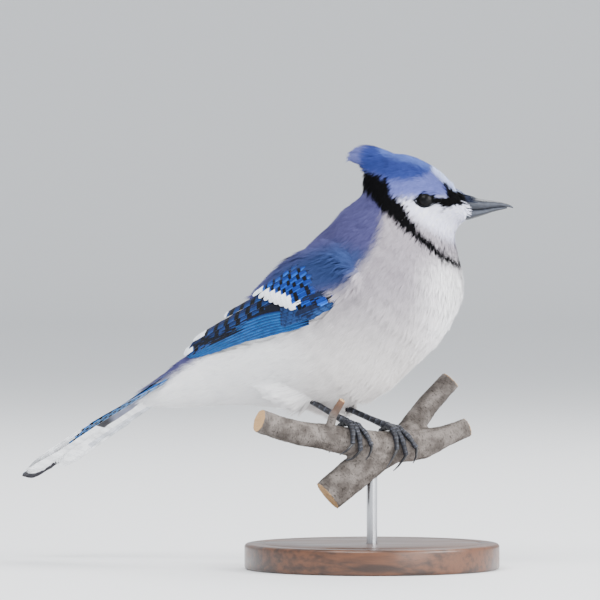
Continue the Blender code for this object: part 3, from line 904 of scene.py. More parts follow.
# The bird's form
@dataclass(frozen=True)
class BodyForm:
    """The bird's outer form, as tables that smooth curves run through, and its turn.

    The straight bird looks along x, with y to its left. Its parts are then turned about the
    upright line through its neck: the trunk by the whole turn, the head not at all.
    """

    neck_line: tuple[float, float] = (18.8, -8.0)
    turn: float = 26.0
    # Back x and z, belly x and z, half width, turn, fullness above.
    body: Path = (
        (-117.5, 86.6, -112.5, 74.6, 6.0, 26.0, 0.0),
        (-108.8, 92.6, -99.0, 74.4, 9.5, 26.0, 0.0),
        (-84.0, 109.5, -74.0, 75.6, 15.5, 26.0, 0.05),
        (-63.5, 123.0, -49.0, 74.6, 23.0, 26.0, 0.12),
        (-47.6, 138.5, -25.0, 74.2, 29.5, 26.0, 0.18),
        (-37.0, 148.5, 0.6, 80.6, 32.5, 26.0, 0.14),
        (-25.6, 159.0, 18.0, 94.6, 33.5, 26.0, 0.06),
        (-18.9, 165.0, 32.0, 108.4, 33.0, 26.0, 0.0),
        (-13.6, 170.5, 41.2, 124.6, 29.5, 26.0, 0.0),
        (-8.4, 174.0, 42.5, 136.5, 26.0, 20.0, 0.0),
        (-4.8, 178.1, 40.6, 147.5, 22.0, 11.0, 0.0),
        (-4.0, 184.8, 39.4, 154.6, 19.5, 4.0, 0.0),
        (-0.5, 190.5, 39.6, 158.2, 17.8, 0.0, 0.0),
        (6.5, 194.8, 40.6, 160.2, 16.8, 0.0, 0.0),
        (16.5, 194.8, 41.8, 161.9, 16.0, 0.0, 0.0),
        (25.4, 191.2, 43.2, 163.0, 14.0, 0.0, 0.0),
        (32.4, 186.6, 44.2, 163.8, 11.2, 0.0, 0.0),
        (37.3, 181.6, 44.9, 164.2, 8.0, 0.0, 0.0),
        (41.0, 176.8, 45.8, 164.9, 5.4, 0.0, 0.0),
    )
    # Upper edge x, z and y, lower edge x, z and y, half thickness.
    wing: Path = (
        (-96.5, 100.8, -6.5, -95.6, 98.6, -8.0, 0.7),
        (-83.0, 112.8, -8.0, -77.5, 100.6, -17.0, 2.6),
        (-66.0, 123.8, -9.5, -57.6, 106.4, -25.5, 5.0),
        (-50.0, 135.8, -10.5, -36.0, 112.0, -32.0, 8.5),
        (-36.0, 147.5, -12.5, -19.0, 116.4, -34.5, 9.0),
        (-20.0, 152.5, -19.0, -3.0, 123.5, -35.0, 7.0),
        (-5.0, 151.5, -27.0, 7.0, 133.4, -34.5, 4.0),
        (3.0, 146.0, -30.5, 8.6, 139.0, -33.0, 1.6),
    )
    # Middle x and z, half height, half width.
    crest: Path = (
        (18.0, 185.5, 7.0, 8.0),
        (6.5, 190.4, 6.8, 7.6),
        (-1.0, 192.8, 6.0, 5.8),
        (-6.6, 193.6, 4.0, 3.6),
        (-10.2, 193.0, 1.3, 1.3),
    )
    # Place along the body, depth of the coat, length of its tufts.
    coat: Path = (
        (0.0, 1.2, 13.0),
        (2.0, 1.6, 12.0),
        (4.0, 2.0, 10.5),
        (6.0, 2.0, 9.0),
        (8.0, 1.9, 8.0),
        (10.0, 1.6, 6.4),
        (11.0, 1.3, 5.4),
        (12.0, 1.1, 4.6),
        (13.0, 0.95, 4.0),
        (14.0, 0.85, 3.4),
        (15.0, 0.75, 2.9),
        (16.0, 0.65, 2.4),
        (17.0, 0.5, 2.0),
        (18.0, 0.35, 1.6),
    )
    crest_coat: Path = ((1.0, 1.0, 7.5), (2.0, 1.0, 7.0), (3.0, 1.0, 6.2), (4.0, 0.9, 5.4))
    wing_coat: tuple[float, float] = (1.8, 8.0)

    def turned(self, points: Rows, degrees: Rows | float) -> Rows:
        """Turns points of the straight bird into the frame.

        Args:
            points: The points.
            degrees: The turn of each, or of all.

        Returns:
            The turned points.
        """
        angle = np.radians(degrees)
        cosine, sine = np.cos(angle), np.sin(angle)
        ahead, left = points[..., 0] - self.neck_line[0], points[..., 1]
        x = self.neck_line[0] + ahead * cosine + left * sine
        return np.stack([x, self.neck_line[1] - ahead * sine + left * cosine, points[..., 2]], -1)

    def straightened(self, points: Rows, degrees: Rows | float) -> Rows:
        """Turns points of the frame back onto the straight bird.

        Args:
            points: The points.
            degrees: The turn of each, or of all.

        Returns:
            The straight bird's points.
        """
        angle = np.radians(degrees)
        cosine, sine = np.cos(angle), np.sin(angle)
        x, y = points[..., 0] - self.neck_line[0], points[..., 1] - self.neck_line[1]
        ahead, left = x * cosine - y * sine, x * sine + y * cosine
        return np.stack([ahead + self.neck_line[0], left, points[..., 2]], -1)

    def mirrored(self, points: Rows) -> Rows:
        """Moves points of the turned trunk to its other side."""
        straight = self.straightened(points, self.turn)
        straight[..., 1] *= -1
        return self.turned(straight, self.turn)

    def body_grid(self, places: Rows, angles: Rows) -> Rows:
        """Points on the body.

        Args:
            places: Places along it, from the tail to the bill.
            angles: Angles round it, from the back.

        Returns:
            Points by place, by angle.
        """
        rows = run_through(self.body, places)
        back, belly = rows[:, 0:2], rows[:, 2:4]
        middle, up = (back + belly) / 2, unit(back - belly)
        half_depth = np.linalg.norm(back - belly, axis=1) / 2
        cosine, sine = np.cos(angles)[None], np.sin(angles)[None]
        flat = middle[:, None] + up[:, None] * (half_depth[:, None] * cosine)[..., None]
        side = rows[:, 4, None] * sine * (1 + rows[:, 6, None] * cosine)
        straight = np.stack([flat[..., 0], side, flat[..., 1]], -1)
        return self.turned(straight, rows[:, 5, None])

    def wing_grid(self, places: Rows, angles: Rows, side: Side) -> Rows:
        """Points on a wing.

        Args:
            places: Places along it, from its tip.
            angles: Angles round it, from its upper edge over its outer face.
            side: Which wing.

        Returns:
            Points by place, by angle.
        """
        rows = run_through(self.wing, places)
        upper, lower = rows[:, [0, 2, 1]], rows[:, [3, 5, 4]]
        span, middle = (upper - lower) / 2, (upper + lower) / 2
        outward = unit(np.cross(span, directions(middle)))
        outward *= -np.sign(outward[:, 1:2])
        cosine, sine = np.cos(angles)[None, :, None], np.sin(angles)[None, :, None]
        grid = middle[:, None] + span[:, None] * cosine
        grid = grid + outward[:, None] * rows[:, 6, None, None] * sine
        grid[..., 1] *= -side.value
        return self.turned(grid, self.turn)

    def crest_grid(self, places: Rows, angles: Rows) -> Rows:
        """Points on the crest, by place from its root, by angle round it."""
        rows = run_through(self.crest, places)
        rise = rows[:, 1, None] + rows[:, 2, None] * np.cos(angles)
        side = rows[:, 3, None] * np.sin(angles)
        grid = np.stack([np.broadcast_to(rows[:, 0, None], rise.shape), side, rise], -1)
        return self.turned(grid, 0.0)


@dataclass
class Guide:
    """Finds, for any point by the bird, the nearest place on its form and what grows there."""

    form: BodyForm
    steps: int = 56
    rows: Rows = field(init=False)
    tree: KDTree = field(init=False)

    LIE = slice(3, 6)
    TURN, DEPTH, REACH, TRACT, PLACE, ANGLE = 6, 7, 8, 9, 10, 11

    def __post_init__(self) -> None:
        """Samples every part of the form."""
        angles = 2 * math.pi * np.arange(self.steps) / self.steps
        found = []
        places = np.arange(0, 18.01, 0.125)
        grid = self.form.body_grid(places, angles)
        table = np.array(self.form.coat)
        depth = np.interp(places, table[:, 0], table[:, 1])
        reach = np.interp(places, table[:, 0], table[:, 2])
        turns = run_through(self.form.body, places)[:, 5]
        found.append(self.sampled(grid, -1, turns, depth, reach, Tract.BODY, places, angles))
        places = np.arange(0, 7.01, 0.125)
        turns = np.full(len(places), self.form.turn)
        for side in Side:
            grid = self.form.wing_grid(places, angles, side)
            depth, reach = (np.full(len(places), v) for v in self.form.wing_coat)
            found.append(self.sampled(grid, -1, turns, depth, reach, Tract.WING, places, angles))
        places = np.arange(1, 4.01, 0.125)
        grid = self.form.crest_grid(places, angles)
        table = np.array(self.form.crest_coat)
        depth = np.interp(places, table[:, 0], table[:, 1])
        reach = np.interp(places, table[:, 0], table[:, 2])
        turns = np.zeros(len(places))
        found.append(self.sampled(grid, 1, turns, depth, reach, Tract.CREST, places, angles))
        self.rows = np.concatenate(found)
        self.tree = KDTree(len(self.rows))
        for index, row in enumerate(self.rows):
            self.tree.insert(row[:3], index)
        self.tree.balance()

    def sampled(
        self, grid: Rows, way: int, turns: Rows, depth: Rows, reach: Rows, tract: Tract,
        places: Rows, angles: Rows,
    ) -> Rows:
        """Makes rows of samples from a grid of points.

        Args:
            grid: Points by place, by angle.
            way: 1 where the coat lies towards the grid's end, -1 where it lies to its start.
            turns: The turn at each place.
            depth: The coat's depth at each place.
            reach: The tufts' length at each place.
            tract: What the samples are on.
            places: The places.
            angles: The angles.

        Returns:
            One row for each sample.
        """
        lie = unit(np.gradient(grid, axis=0)) * way
        count = grid.shape[1]
        columns = [np.repeat(v, count) for v in (turns, depth, reach)]
        columns.append(np.full(len(places) * count, float(tract.value)))
        columns += [np.repeat(places, count), np.tile(angles, len(places))]
        return np.column_stack([grid.reshape(-1, 3), lie.reshape(-1, 3), *columns])

    def at(self, points: Rows) -> Rows:
        """The sample nearest to each point."""
        return self.rows[[self.tree.find(point)[1] for point in points]]


# Markings, with some painted light
@dataclass(frozen=True)
class Mark:
    """A patch of one tone, outlined as it is seen from the bird's right side."""

    name: str
    tone: Colour
    outline: Path
    soft: float = 0.45
    strength: float = 1.0

    def cover(self, seen: Rows) -> Rows:
        """How far the patch covers each point.

        Args:
            seen: The points as seen from the side: x and z.

        Returns:
            A share from 0 to 1 for each point.
        """
        x, z = seen[:, 0], seen[:, 1]
        nearest, inside = np.full(len(seen), np.inf), np.zeros(len(seen), bool)
        corners = self.outline
        for (ax, az), (bx, bz) in zip(corners, corners[1:] + corners[:1]):
            dx, dz = bx - ax, bz - az
            part = np.clip(((x - ax) * dx + (z - az) * dz) / (dx * dx + dz * dz), 0, 1)
            nearest = np.minimum(nearest, np.hypot(x - ax - part * dx, z - az - part * dz))
            crosses = (az > z) != (bz > z)
            inside ^= crosses & (x < ax + (z - az) * dx / (dz or 1e-9))
        signed = np.where(inside, nearest, -nearest)
        return self.strength * eased(0.5 + signed / (2 * self.soft))


@dataclass(frozen=True)
class Plumage:
    """The jay's markings, with painted light on the front of the breast and the tops of the crown and back,
    as a tone for any point of its coat.
    """

    guide: Guide
    breast: Colour = tone(170, 163, 171)
    belly: Colour = tone(236, 232, 230)
    # front: the white of the fore-breast, brightened as painted light where the light from the front falls
    # on it.
    front: Colour = tone(253, 251, 253)
    vent: Colour = tone(251, 251, 253)
    cheek: Colour = tone(230, 231, 250)
    brow: Colour = tone(98, 106, 170)
    marks: tuple[Mark, ...] = (
        Mark(
            "mantle",
            tone(78, 77, 122),
            (
                (9.0, 172.0), (4.5, 166.0), (3.6, 160.0), (2.4, 155.0), (-0.5, 150.0),
                (-5.3, 144.6), (-11.0, 138.0), (-14.0, 133.6), (-30.0, 127.0), (-45.0, 119.0),
                (-60.0, 110.0), (-80.0, 99.0), (-92.0, 90.5), (-104.0, 83.0), (-140.0, 70.0),
                (-140.0, 140.0), (-60.0, 210.0), (-8.0, 190.0),
            ),
            2.4,
        ),
        Mark(
            "scapular blue",
            tone(46, 66, 113),
            (
                (-3.0, 148.5), (-8.0, 142.0), (-14.0, 134.0), (-30.0, 130.0), (-45.0, 125.0),
                (-54.0, 128.0), (-44.0, 141.0), (-30.0, 148.5), (-16.0, 153.0),
            ),
            5.0,
            0.9,
        ),
        # Painted light: the top of the back lighter where the light from above falls on it.
        Mark(
            "mantle top",
            tone(124, 126, 168),
            ((2.0, 177.0), (-10.0, 176.0), (-22.0, 163.0), (-52.0, 137.0), (-60.0, 150.0), (-10.0, 190.0)),
            3.5,
            0.75,
        ),
        Mark(
            "crest",
            tone(50, 64, 130),
            (
                (2.8, 185.3), (6.5, 182.6), (15.2, 182.6), (22.7, 184.0), (26.5, 186.4),
                (28.6, 189.0), (31.0, 193.0), (28.0, 206.0), (-22.0, 206.0), (-22.0, 186.0),
                (-4.2, 187.6),
            ),
            1.6,
        ),
        # Painted highlight: the top of the crown a paler blue where the light from above falls on it.
        Mark(
            "crown edge",
            tone(104, 130, 206),
            (
                (33.4, 185.4), (28.0, 187.6), (21.0, 190.0), (11.0, 192.8), (3.0, 195.4),
                (3.0, 206.0), (34.0, 204.0),
            ),
            1.8,
            0.7,
        ),
        Mark(
            "crest tips",
            tone(126, 130, 184),
            (
                (-22.0, 184.0), (-8.0, 187.0), (-5.6, 190.0), (-5.4, 194.0), (-2.6, 198.0),
                (-3.0, 206.0), (-22.0, 206.0),
            ),
            1.6,
            0.55,
        ),
        Mark(
            "forehead",
            tone(208, 220, 252),
            (
                (40.5, 176.6), (35.2, 179.8), (31.2, 183.6), (27.6, 187.2), (28.4, 192.6),
                (44.0, 190.0), (44.0, 176.6),
            ),
            1.2,
            0.95,
        ),
        Mark(
            "collar",
            tone(4, 5, 9),
            (
                (-3.4, 176.4), (0.6, 173.7), (2.8, 169.4), (6.5, 166.2), (11.4, 162.4),
                (14.1, 159.2), (18.4, 155.9), (22.7, 152.1), (27.0, 149.5), (31.4, 145.7),
                (36.2, 143.2), (41.1, 141.2), (52.0, 138.4), (52.0, 142.0), (42.0, 142.6),
                (39.5, 144.3), (36.2, 146.8), (31.4, 150.0), (28.1, 153.2), (23.8, 157.0),
                (20.6, 159.7), (21.1, 161.3), (19.5, 162.9), (16.8, 166.2), (15.2, 168.9),
                (13.0, 172.6), (10.3, 174.8), (8.2, 177.0), (8.2, 180.2), (6.5, 182.4),
                (2.8, 185.3), (-4.2, 187.4), (-18.0, 187.0), (-18.0, 178.0),
            ),
            0.5,
        ),
        Mark(
            "lores",
            tone(4, 5, 8),
            (
                (33.6, 181.9), (35.5, 179.8), (38.5, 177.8), (41.2, 176.6), (45.5, 175.6),
                (45.5, 170.9), (39.8, 171.2), (36.2, 170.1), (32.5, 169.8), (29.5, 171.4), (28.8, 173.0),
                (29.5, 174.6), (33.3, 174.0), (34.7, 175.3), (34.0, 178.0), (32.7, 180.7),
            ),
            0.35,
        ),
        Mark(
            "eye rim",
            tone(5, 6, 9),
            (
                (18.7, 173.2), (20.9, 175.5), (23.0, 176.8), (25.7, 177.0), (28.1, 176.1),
                (30.0, 174.6), (30.0, 171.4), (27.8, 170.2), (25.0, 169.6), (22.4, 170.3),
                (20.5, 171.6),
            ),
            0.3,
        ),
        Mark(
            "eye line",
            tone(22, 24, 34),
            ((20.0, 173.8), (16.0, 174.3), (11.5, 175.0), (11.5, 174.2), (16.0, 173.6), (20.0, 172.9)),
            0.3,
            0.8,
        ),
        Mark(
            "moustache",
            tone(26, 28, 38),
            ((32.9, 169.9), (31.9, 168.4), (30.7, 166.9), (31.5, 166.7), (32.8, 168.2), (33.9, 169.7)),
            0.3,
            0.8,
        ),
    )

    def seen(self, points: Rows, nearest: Rows) -> Rows:
        """Where points, or their mirror images, show from the bird's right side.

        Args:
            points: The points.
            nearest: The guide's row for each.

        Returns:
            Their x and z from the side.
        """
        turns = nearest[:, Guide.TURN]
        straight = self.guide.form.straightened(points, turns)
        straight[:, 1] = -np.abs(straight[:, 1])
        return self.guide.form.turned(straight, turns)[:, [0, 2]]

    def tones(self, points: Rows, shift: Rows | float = 0.0) -> Rows:
        """The tone of the coat at each point.

        Args:
            points: The points.
            shift: A move of each point's x and z, to roughen the marks' edges.

        Returns:
            A colour for each point.
        """
        nearest = self.guide.at(points)
        seen = self.seen(points, nearest) + shift
        x, z = seen[:, :1], seen[:, 1:]
        low = eased((138 - z) / 48)
        found = np.array(self.breast) * (1 - low) + np.array(self.belly) * low
        # The front of the breast: white plumage, brightened as painted light that falls on it from the
        # front.
        ahead = eased((x - 14) / 22) * eased((152 - z) / 16)
        found = found * (1 - ahead) + np.array(self.front) * ahead
        rear = eased((-16 - x) / 40)
        found = found * (1 - rear) + np.array(self.vent) * rear
        lift = eased((z - 170.8) / 6.2)
        head = np.array(self.cheek) * (1 - lift) + np.array(self.brow) * lift
        on_head = eased((nearest[:, Guide.PLACE, None] - 10.2) / 0.9)
        on_head = np.where(nearest[:, Guide.TRACT, None] == Tract.CREST.value, 1.0, on_head)
        on_head = np.where(nearest[:, Guide.TRACT, None] == Tract.WING.value, 0.0, on_head)
        found = found * (1 - on_head) + head * on_head
        for mark in self.marks:
            share = mark.cover(seen)[:, None]
            found = found * (1 - share) + np.array(mark.tone) * share
        return found


# The skin
@dataclass
class Skin:
    """One skin over the body, inside its outline by the coat's depth, with lids round the eyes."""

    guide: Guide
    plumage: Plumage
    cell: float = 0.9
    swell: float = 0.4
    flesh: tuple[str, ...] = (
        "head", "crest", "neck", "trunk", "tail_coverts", "thigh_right", "thigh_left",
    )
    filled: tuple[str, ...] = ("eye_right", "eye_left", "wing_right", "wing_left")
    wing_kept_from: float = -52.0
    # The coat's greatest share of the body's thickness, and how far under the surface that is felt
    # from.
    thin_share: float = 0.3
    felt_from: float = 0.3
    # The wing feathers' outline, seen from the side, where the skin needs no coat.
    under_wing: Mark = Mark(
        "under the wing",
        (0.0, 0.0, 0.0),
        (
            (-13.5, 129.5), (-16.0, 133.0), (-24.0, 134.5), (-33.0, 134.8), (-42.0, 135.0),
            (-50.0, 129.5), (-58.0, 124.4), (-70.0, 116.4), (-80.0, 108.4), (-89.0, 98.6),
            (-83.0, 98.6), (-75.6, 100.4), (-67.8, 101.0), (-60.0, 103.2), (-52.0, 105.8), (-44.0, 108.2),
            (-36.0, 111.4), (-28.0, 116.0), (-20.0, 121.0), (-14.0, 125.5),
        ),
        1.5,
    )
    # Half width and height of the bare patch round each eye, and how far from the middle the
    # flanks begin.
    eye_clear: tuple[float, float] = (4.1, 3.2)
    flank_from: float = 9.0
    # Where along the body the forward-lying bristles and the bill begin.
    bristles_from: float = 17.25
    bill_from: float = 17.95
    bristles: tuple[float, float] = (7.0, 3.6)
    bristle_lift: float = 2.0
    most_facing: float = 0.78
    obj: Object = field(init=False)

    def build(self) -> Object:
        """Makes the skin and paints on it what the coat needs.

        Returns:
            The skin.
        """
        form = self.guide.form
        cuts = {}
        way = form.turned(np.array([[1.0, 0, 0]]), form.turn) - form.turned(np.zeros((1, 3)), form.turn)
        point = form.turned(np.array([[self.wing_kept_from, 0, 100.0]]), form.turn)
        for name in ("wing_right", "wing_left"):
            cuts[name] = (Vector(point[0] * MM), Vector(way[0]))
        mesh = evened(node_copy(self.flesh + self.filled, self.swell, cuts), "skin", self.cell)
        self.shape(mesh)
        self.obj = placed("skin", mesh)
        self.unwrap(self.obj)
        self.paint(mesh)
        return self.obj

    def shape(self, mesh: Mesh) -> None:
        """Smooths the joined mesh and draws it in by the coat's depth.

        Args:
            mesh: The mesh, still at the outline.
        """
        edges = mesh_edges(mesh)
        move_vertices(mesh, relaxed(vertex_points(mesh), edges, 10, (0.5, -0.52)))
        points, normals = vertex_points(mesh), vertex_normals(mesh)
        nearest = self.guide.at(points)
        wanted = nearest[:, Guide.DEPTH] + self.swell
        surface = BVHTree.FromPolygons(
            [tuple(p) for p in points], [tuple(f.vertices) for f in mesh.polygons]
        )
        for index, (point, normal) in enumerate(zip(points, normals)):
            inward = Vector(-normal)
            hit = surface.ray_cast(Vector(point) + inward * self.felt_from, inward)
            if hit[3] is not None:
                wanted[index] = min(wanted[index], (hit[3] + self.felt_from) * self.thin_share)
        wanted = relaxed(wanted[:, None], edges, 6)[:, 0]
        move_vertices(mesh, points - normals * wanted[:, None])
        mesh.shade_smooth()

    def unwrap(self, obj: Object) -> None:
        """Unwraps the skin's own shape onto the map for baking."""
        obj.data.uv_layers.new(name=BAKE_MAP)
        bpy.context.view_layer.objects.active = obj
        obj.select_set(True)
        bpy.ops.object.mode_set(mode="EDIT")
        bpy.ops.mesh.select_all(action="SELECT")
        bpy.ops.uv.smart_project(angle_limit=math.radians(66), island_margin=0.002)
        bpy.ops.object.mode_set(mode="OBJECT")
        obj.select_set(False)

    def paint(self, mesh: Mesh) -> None:
        """Stores the markings, with their painted light, and the lie, length, depth and cover of the coat.

        Args:
            mesh: The skin's mesh.
        """
        points, normals, edges = vertex_points(mesh), vertex_normals(mesh), mesh_edges(mesh)
        nearest = self.guide.at(points)
        lie = unit(relaxed(nearest[:, Guide.LIE], edges, 24))
        smooth_normals = unit(relaxed(normals, edges, 6))
        facing = np.abs((lie * smooth_normals).sum(1))
        lie = unit(lie - smooth_normals * (lie * smooth_normals).sum(1, keepdims=True))
        reach = relaxed(nearest[:, Guide.REACH, None], edges, 12)[:, 0]
        depth = relaxed(nearest[:, Guide.DEPTH, None], edges, 12)[:, 0]
        bristly = nearest[:, Guide.PLACE] > self.bristles_from
        away = np.minimum(nearest[:, Guide.ANGLE], 2 * math.pi - nearest[:, Guide.ANGLE])
        low = eased(away / math.pi)
        lie[bristly] *= -1
        depth[bristly] = self.bristle_lift
        reach = np.where(bristly, self.bristles[0] * (1 - low) + self.bristles[1] * low, reach)
        write_field(mesh, "lie", lie, "FLOAT_VECTOR")
        write_field(mesh, "out", smooth_normals, "FLOAT_VECTOR")
        write_field(mesh, "reach", reach * MM)
        write_field(mesh, "depth", depth * MM)
        write_field(mesh, "cover", self.cover(points, nearest) * (facing < self.most_facing))
        write_field(mesh, "tint", self.plumage.tones(points), "FLOAT_COLOR")
        write_field(mesh, "place", nearest[:, Guide.PLACE])
        write_field(mesh, "tract", nearest[:, Guide.TRACT])
        write_field(mesh, "angle", nearest[:, Guide.ANGLE])

    def cover(self, points: Rows, nearest: Rows) -> Rows:
        """How thickly the coat grows.

        Args:
            points: The skin's points.
            nearest: The guide's row for each.

        Returns:
            A share from 0 to 1 for each point.
        """
        form = self.guide.form
        straight = form.straightened(points, nearest[:, Guide.TURN])
        seen = self.plumage.seen(points, nearest)
        on_flank = np.abs(straight[:, 1]) > self.flank_from
        hidden = self.under_wing.cover(seen) * on_flank
        found = np.where(hidden > 0.5, 0.0, 1.0)
        across, up = ((seen[:, k] - Eyes.place[k]) / self.eye_clear[k] for k in (0, 1))
        by_eye = (across**2 + up**2 < 1) & on_flank
        in_bill = nearest[:, Guide.PLACE] > self.bill_from
        return np.where(by_eye | in_bill, 0.0, found)

    def finished(self) -> Object:
        """Adds the lids, dresses the skin and lets it stand for the flesh.

        Returns:
            The skin.
        """
        mesh = self.obj.data
        surface = BVHTree.FromPolygons(
            [tuple(v.co) for v in mesh.vertices], [tuple(f.vertices) for f in mesh.polygons]
        )
        lids = Lids(surface)
        parts = [placed(f"lids_{side.word}", lids.mesh(side)) for side in Side]
        skin_finish = SkinFinish("skin_and_down", roughness=0.9, specular=0.1).made()
        lid_finish = LidFinish("lid_skin", roughness=0.6, specular=0.12).made()
        mesh.materials.append(skin_finish)
        mesh.materials.append(lid_finish)
        for part in parts:
            part.data.materials.append(skin_finish)
            part.data.materials.append(lid_finish)
            part.data.polygons.foreach_set("material_index", [1] * len(part.data.polygons))
            part.data.uv_layers.new(name=BAKE_MAP)
        with bpy.context.temp_override(active_object=self.obj, selected_editable_objects=[self.obj, *parts]):
            bpy.ops.object.join()
        for name in ("lie", "out", "reach", "depth", "cover", "place", "tract", "angle"):
            mesh.attributes.remove(mesh.attributes[name])
        return settled(self.obj, self.flesh)


@dataclass(frozen=True)
class Lids:
    """The black lids: a raised rim that lies on the eyeball and sinks into the face."""

    surface: BVHTree
    opening: tuple[float, float] = (3.2, 2.5)
    outside: tuple[float, float] = (4.5, 3.7)
    corner: float = 1.28
    steps: int = 72

    def mesh(self, side: Side) -> Mesh:
        """Makes the lids of one eye.

        Args:
            side: Which eye.

        Returns:
            The mesh.
        """
        angles = 2 * math.pi * np.arange(self.steps) / self.steps
        centre = Eyes().centre(side)
        # How far from the opening to the outside, height over the eyeball, height over the skin.
        profile = (
            (-0.18, -0.3, -1.0), (0.0, 0.05, -0.35), (0.1, 0.3, 0.1), (0.25, 0.42, 0.42),
            (0.42, 0.3, 0.55), (0.6, 0.1, 0.5), (0.8, -0.5, 0.3), (1.0, -1.5, -0.3),
        )
        rings = []
        for share, over_ball, over_skin in profile:
            ring = []
            for angle in angles:
                across, up = self.outline(angle, share)
                crimp = 0.05 * math.sin(angle * 30) * (share > 0)
                ring.append(self.point(centre, side, across, up, over_ball, over_skin, crimp))
            rings.append(ring)
        count = len(angles)
        points = np.array(rings).reshape(-1, 3)
        mesh = mesh_of(f"lids_{side.word}", points, grid_faces(len(rings), count))
        tool = bmesh.new()
        tool.from_mesh(mesh)
        tool.normal_update()
        total = sum((f.normal.y * f.calc_area() for f in tool.faces), 0.0)
        if total * side.value < 0:
            bmesh.ops.reverse_faces(tool, faces=tool.faces)
        tool.to_mesh(mesh)
        tool.free()
        return mesh

    def outline(self, angle: float, share: float) -> tuple[float, float]:
        """A point between the lids' opening and their outside, seen from the side.

        Args:
            angle: The angle round the eye, from the front.
            share: 0 at the opening and 1 at the outside.

        Returns:
            How far ahead of the eye's centre and how far above it.
        """
        cosine, sine = math.cos(angle), math.sin(angle)
        pointed = 1 + (self.corner - 1) * abs(cosine) ** 7
        reach = [a + (b - a) * share for a, b in zip(self.opening, self.outside)]
        return reach[0] * cosine * pointed, reach[1] * sine + 0.25 * cosine

    def point(
        self, centre: Rows, side: Side, across: float, up: float, over_ball: float,
        over_skin: float, crimp: float,
    ) -> list:
        """A point of the lids.

        Args:
            centre: The eye's centre.
            side: Which eye.
            across: How far ahead of the centre.
            up: How far above it.
            over_ball: The least height over the eyeball.
            over_skin: The least height over the skin.
            crimp: A small extra height.

        Returns:
            The point.
        """
        ball = math.sqrt(max(Eyes.radius**2 - across**2 - up**2, 0.01))
        far = Vector((centre[0] + across, centre[1] + side.value * 12, centre[2] + up))
        hit = self.surface.ray_cast(far * MM, Vector((0, -side.value, 0)))[0]
        level = (hit.y / MM - centre[1]) * side.value if hit else ball
        height = max(ball + over_ball, level + over_skin) + crimp
        return [centre[0] + across, centre[1] + side.value * height, centre[2] + up]


# The coat
@dataclass(frozen=True)
class TuftShape:
    """A tuft: a fan of thin barbs, one unit long, wide and high, before it is scaled."""

    name: str
    barbs: int = 7
    barb_width: float = 0.15
    root_spread: float = 0.3
    short: float = 0.3

    def build(self, seed: int) -> Object:
        """Makes one tuft.

        Args:
            seed: The seed of its small differences.

        Returns:
            The tuft, outside the scene.
        """
        random = np.random.default_rng(seed)
        points, faces, along, barb, flat = [], [], [], [], []
        for k in range(self.barbs):
            side = (k / (self.barbs - 1) - 0.5) * 2
            length = 1 - self.short * side**2 + random.uniform(-0.08, 0.08)
            end = side * 0.5 + random.uniform(-0.07, 0.07)
            lift = random.uniform(0.75, 1.15)
            value = random.uniform(0, 1)
            first = len(points)
            for part, height in ((0.0, 0.0), (0.55, 0.66)):
                middle = side * 0.5 * self.root_spread * (1 - part) + end * part**1.3
                half = self.barb_width / 2 * (0.8 + 0.4 * part)
                for edge in (-1, 1):
                    points.append((length * part, middle + edge * half, height * lift))
                    along.append(part)
            points.append((length, end, lift))
            along.append(1.0)
            barb += [value] * 5
            flat += [(0.5 + p[0] * 0.5, 0.5 + p[1] * 0.5, 0.0) for p in points[first:]]
            faces.append((first, first + 2, first + 3, first + 1))
            faces.append((first + 2, first + 4, first + 3))
        mesh = bpy.data.meshes.new(self.name)
        mesh.from_pydata(points, [], faces)
        mesh.shade_smooth()
        write_field(mesh, "along", np.array(along))
        write_field(mesh, "barb", np.array(barb))
        write_field(mesh, "flat", np.array(flat), "FLOAT_VECTOR")
        return bpy.data.objects.new(self.name, mesh)


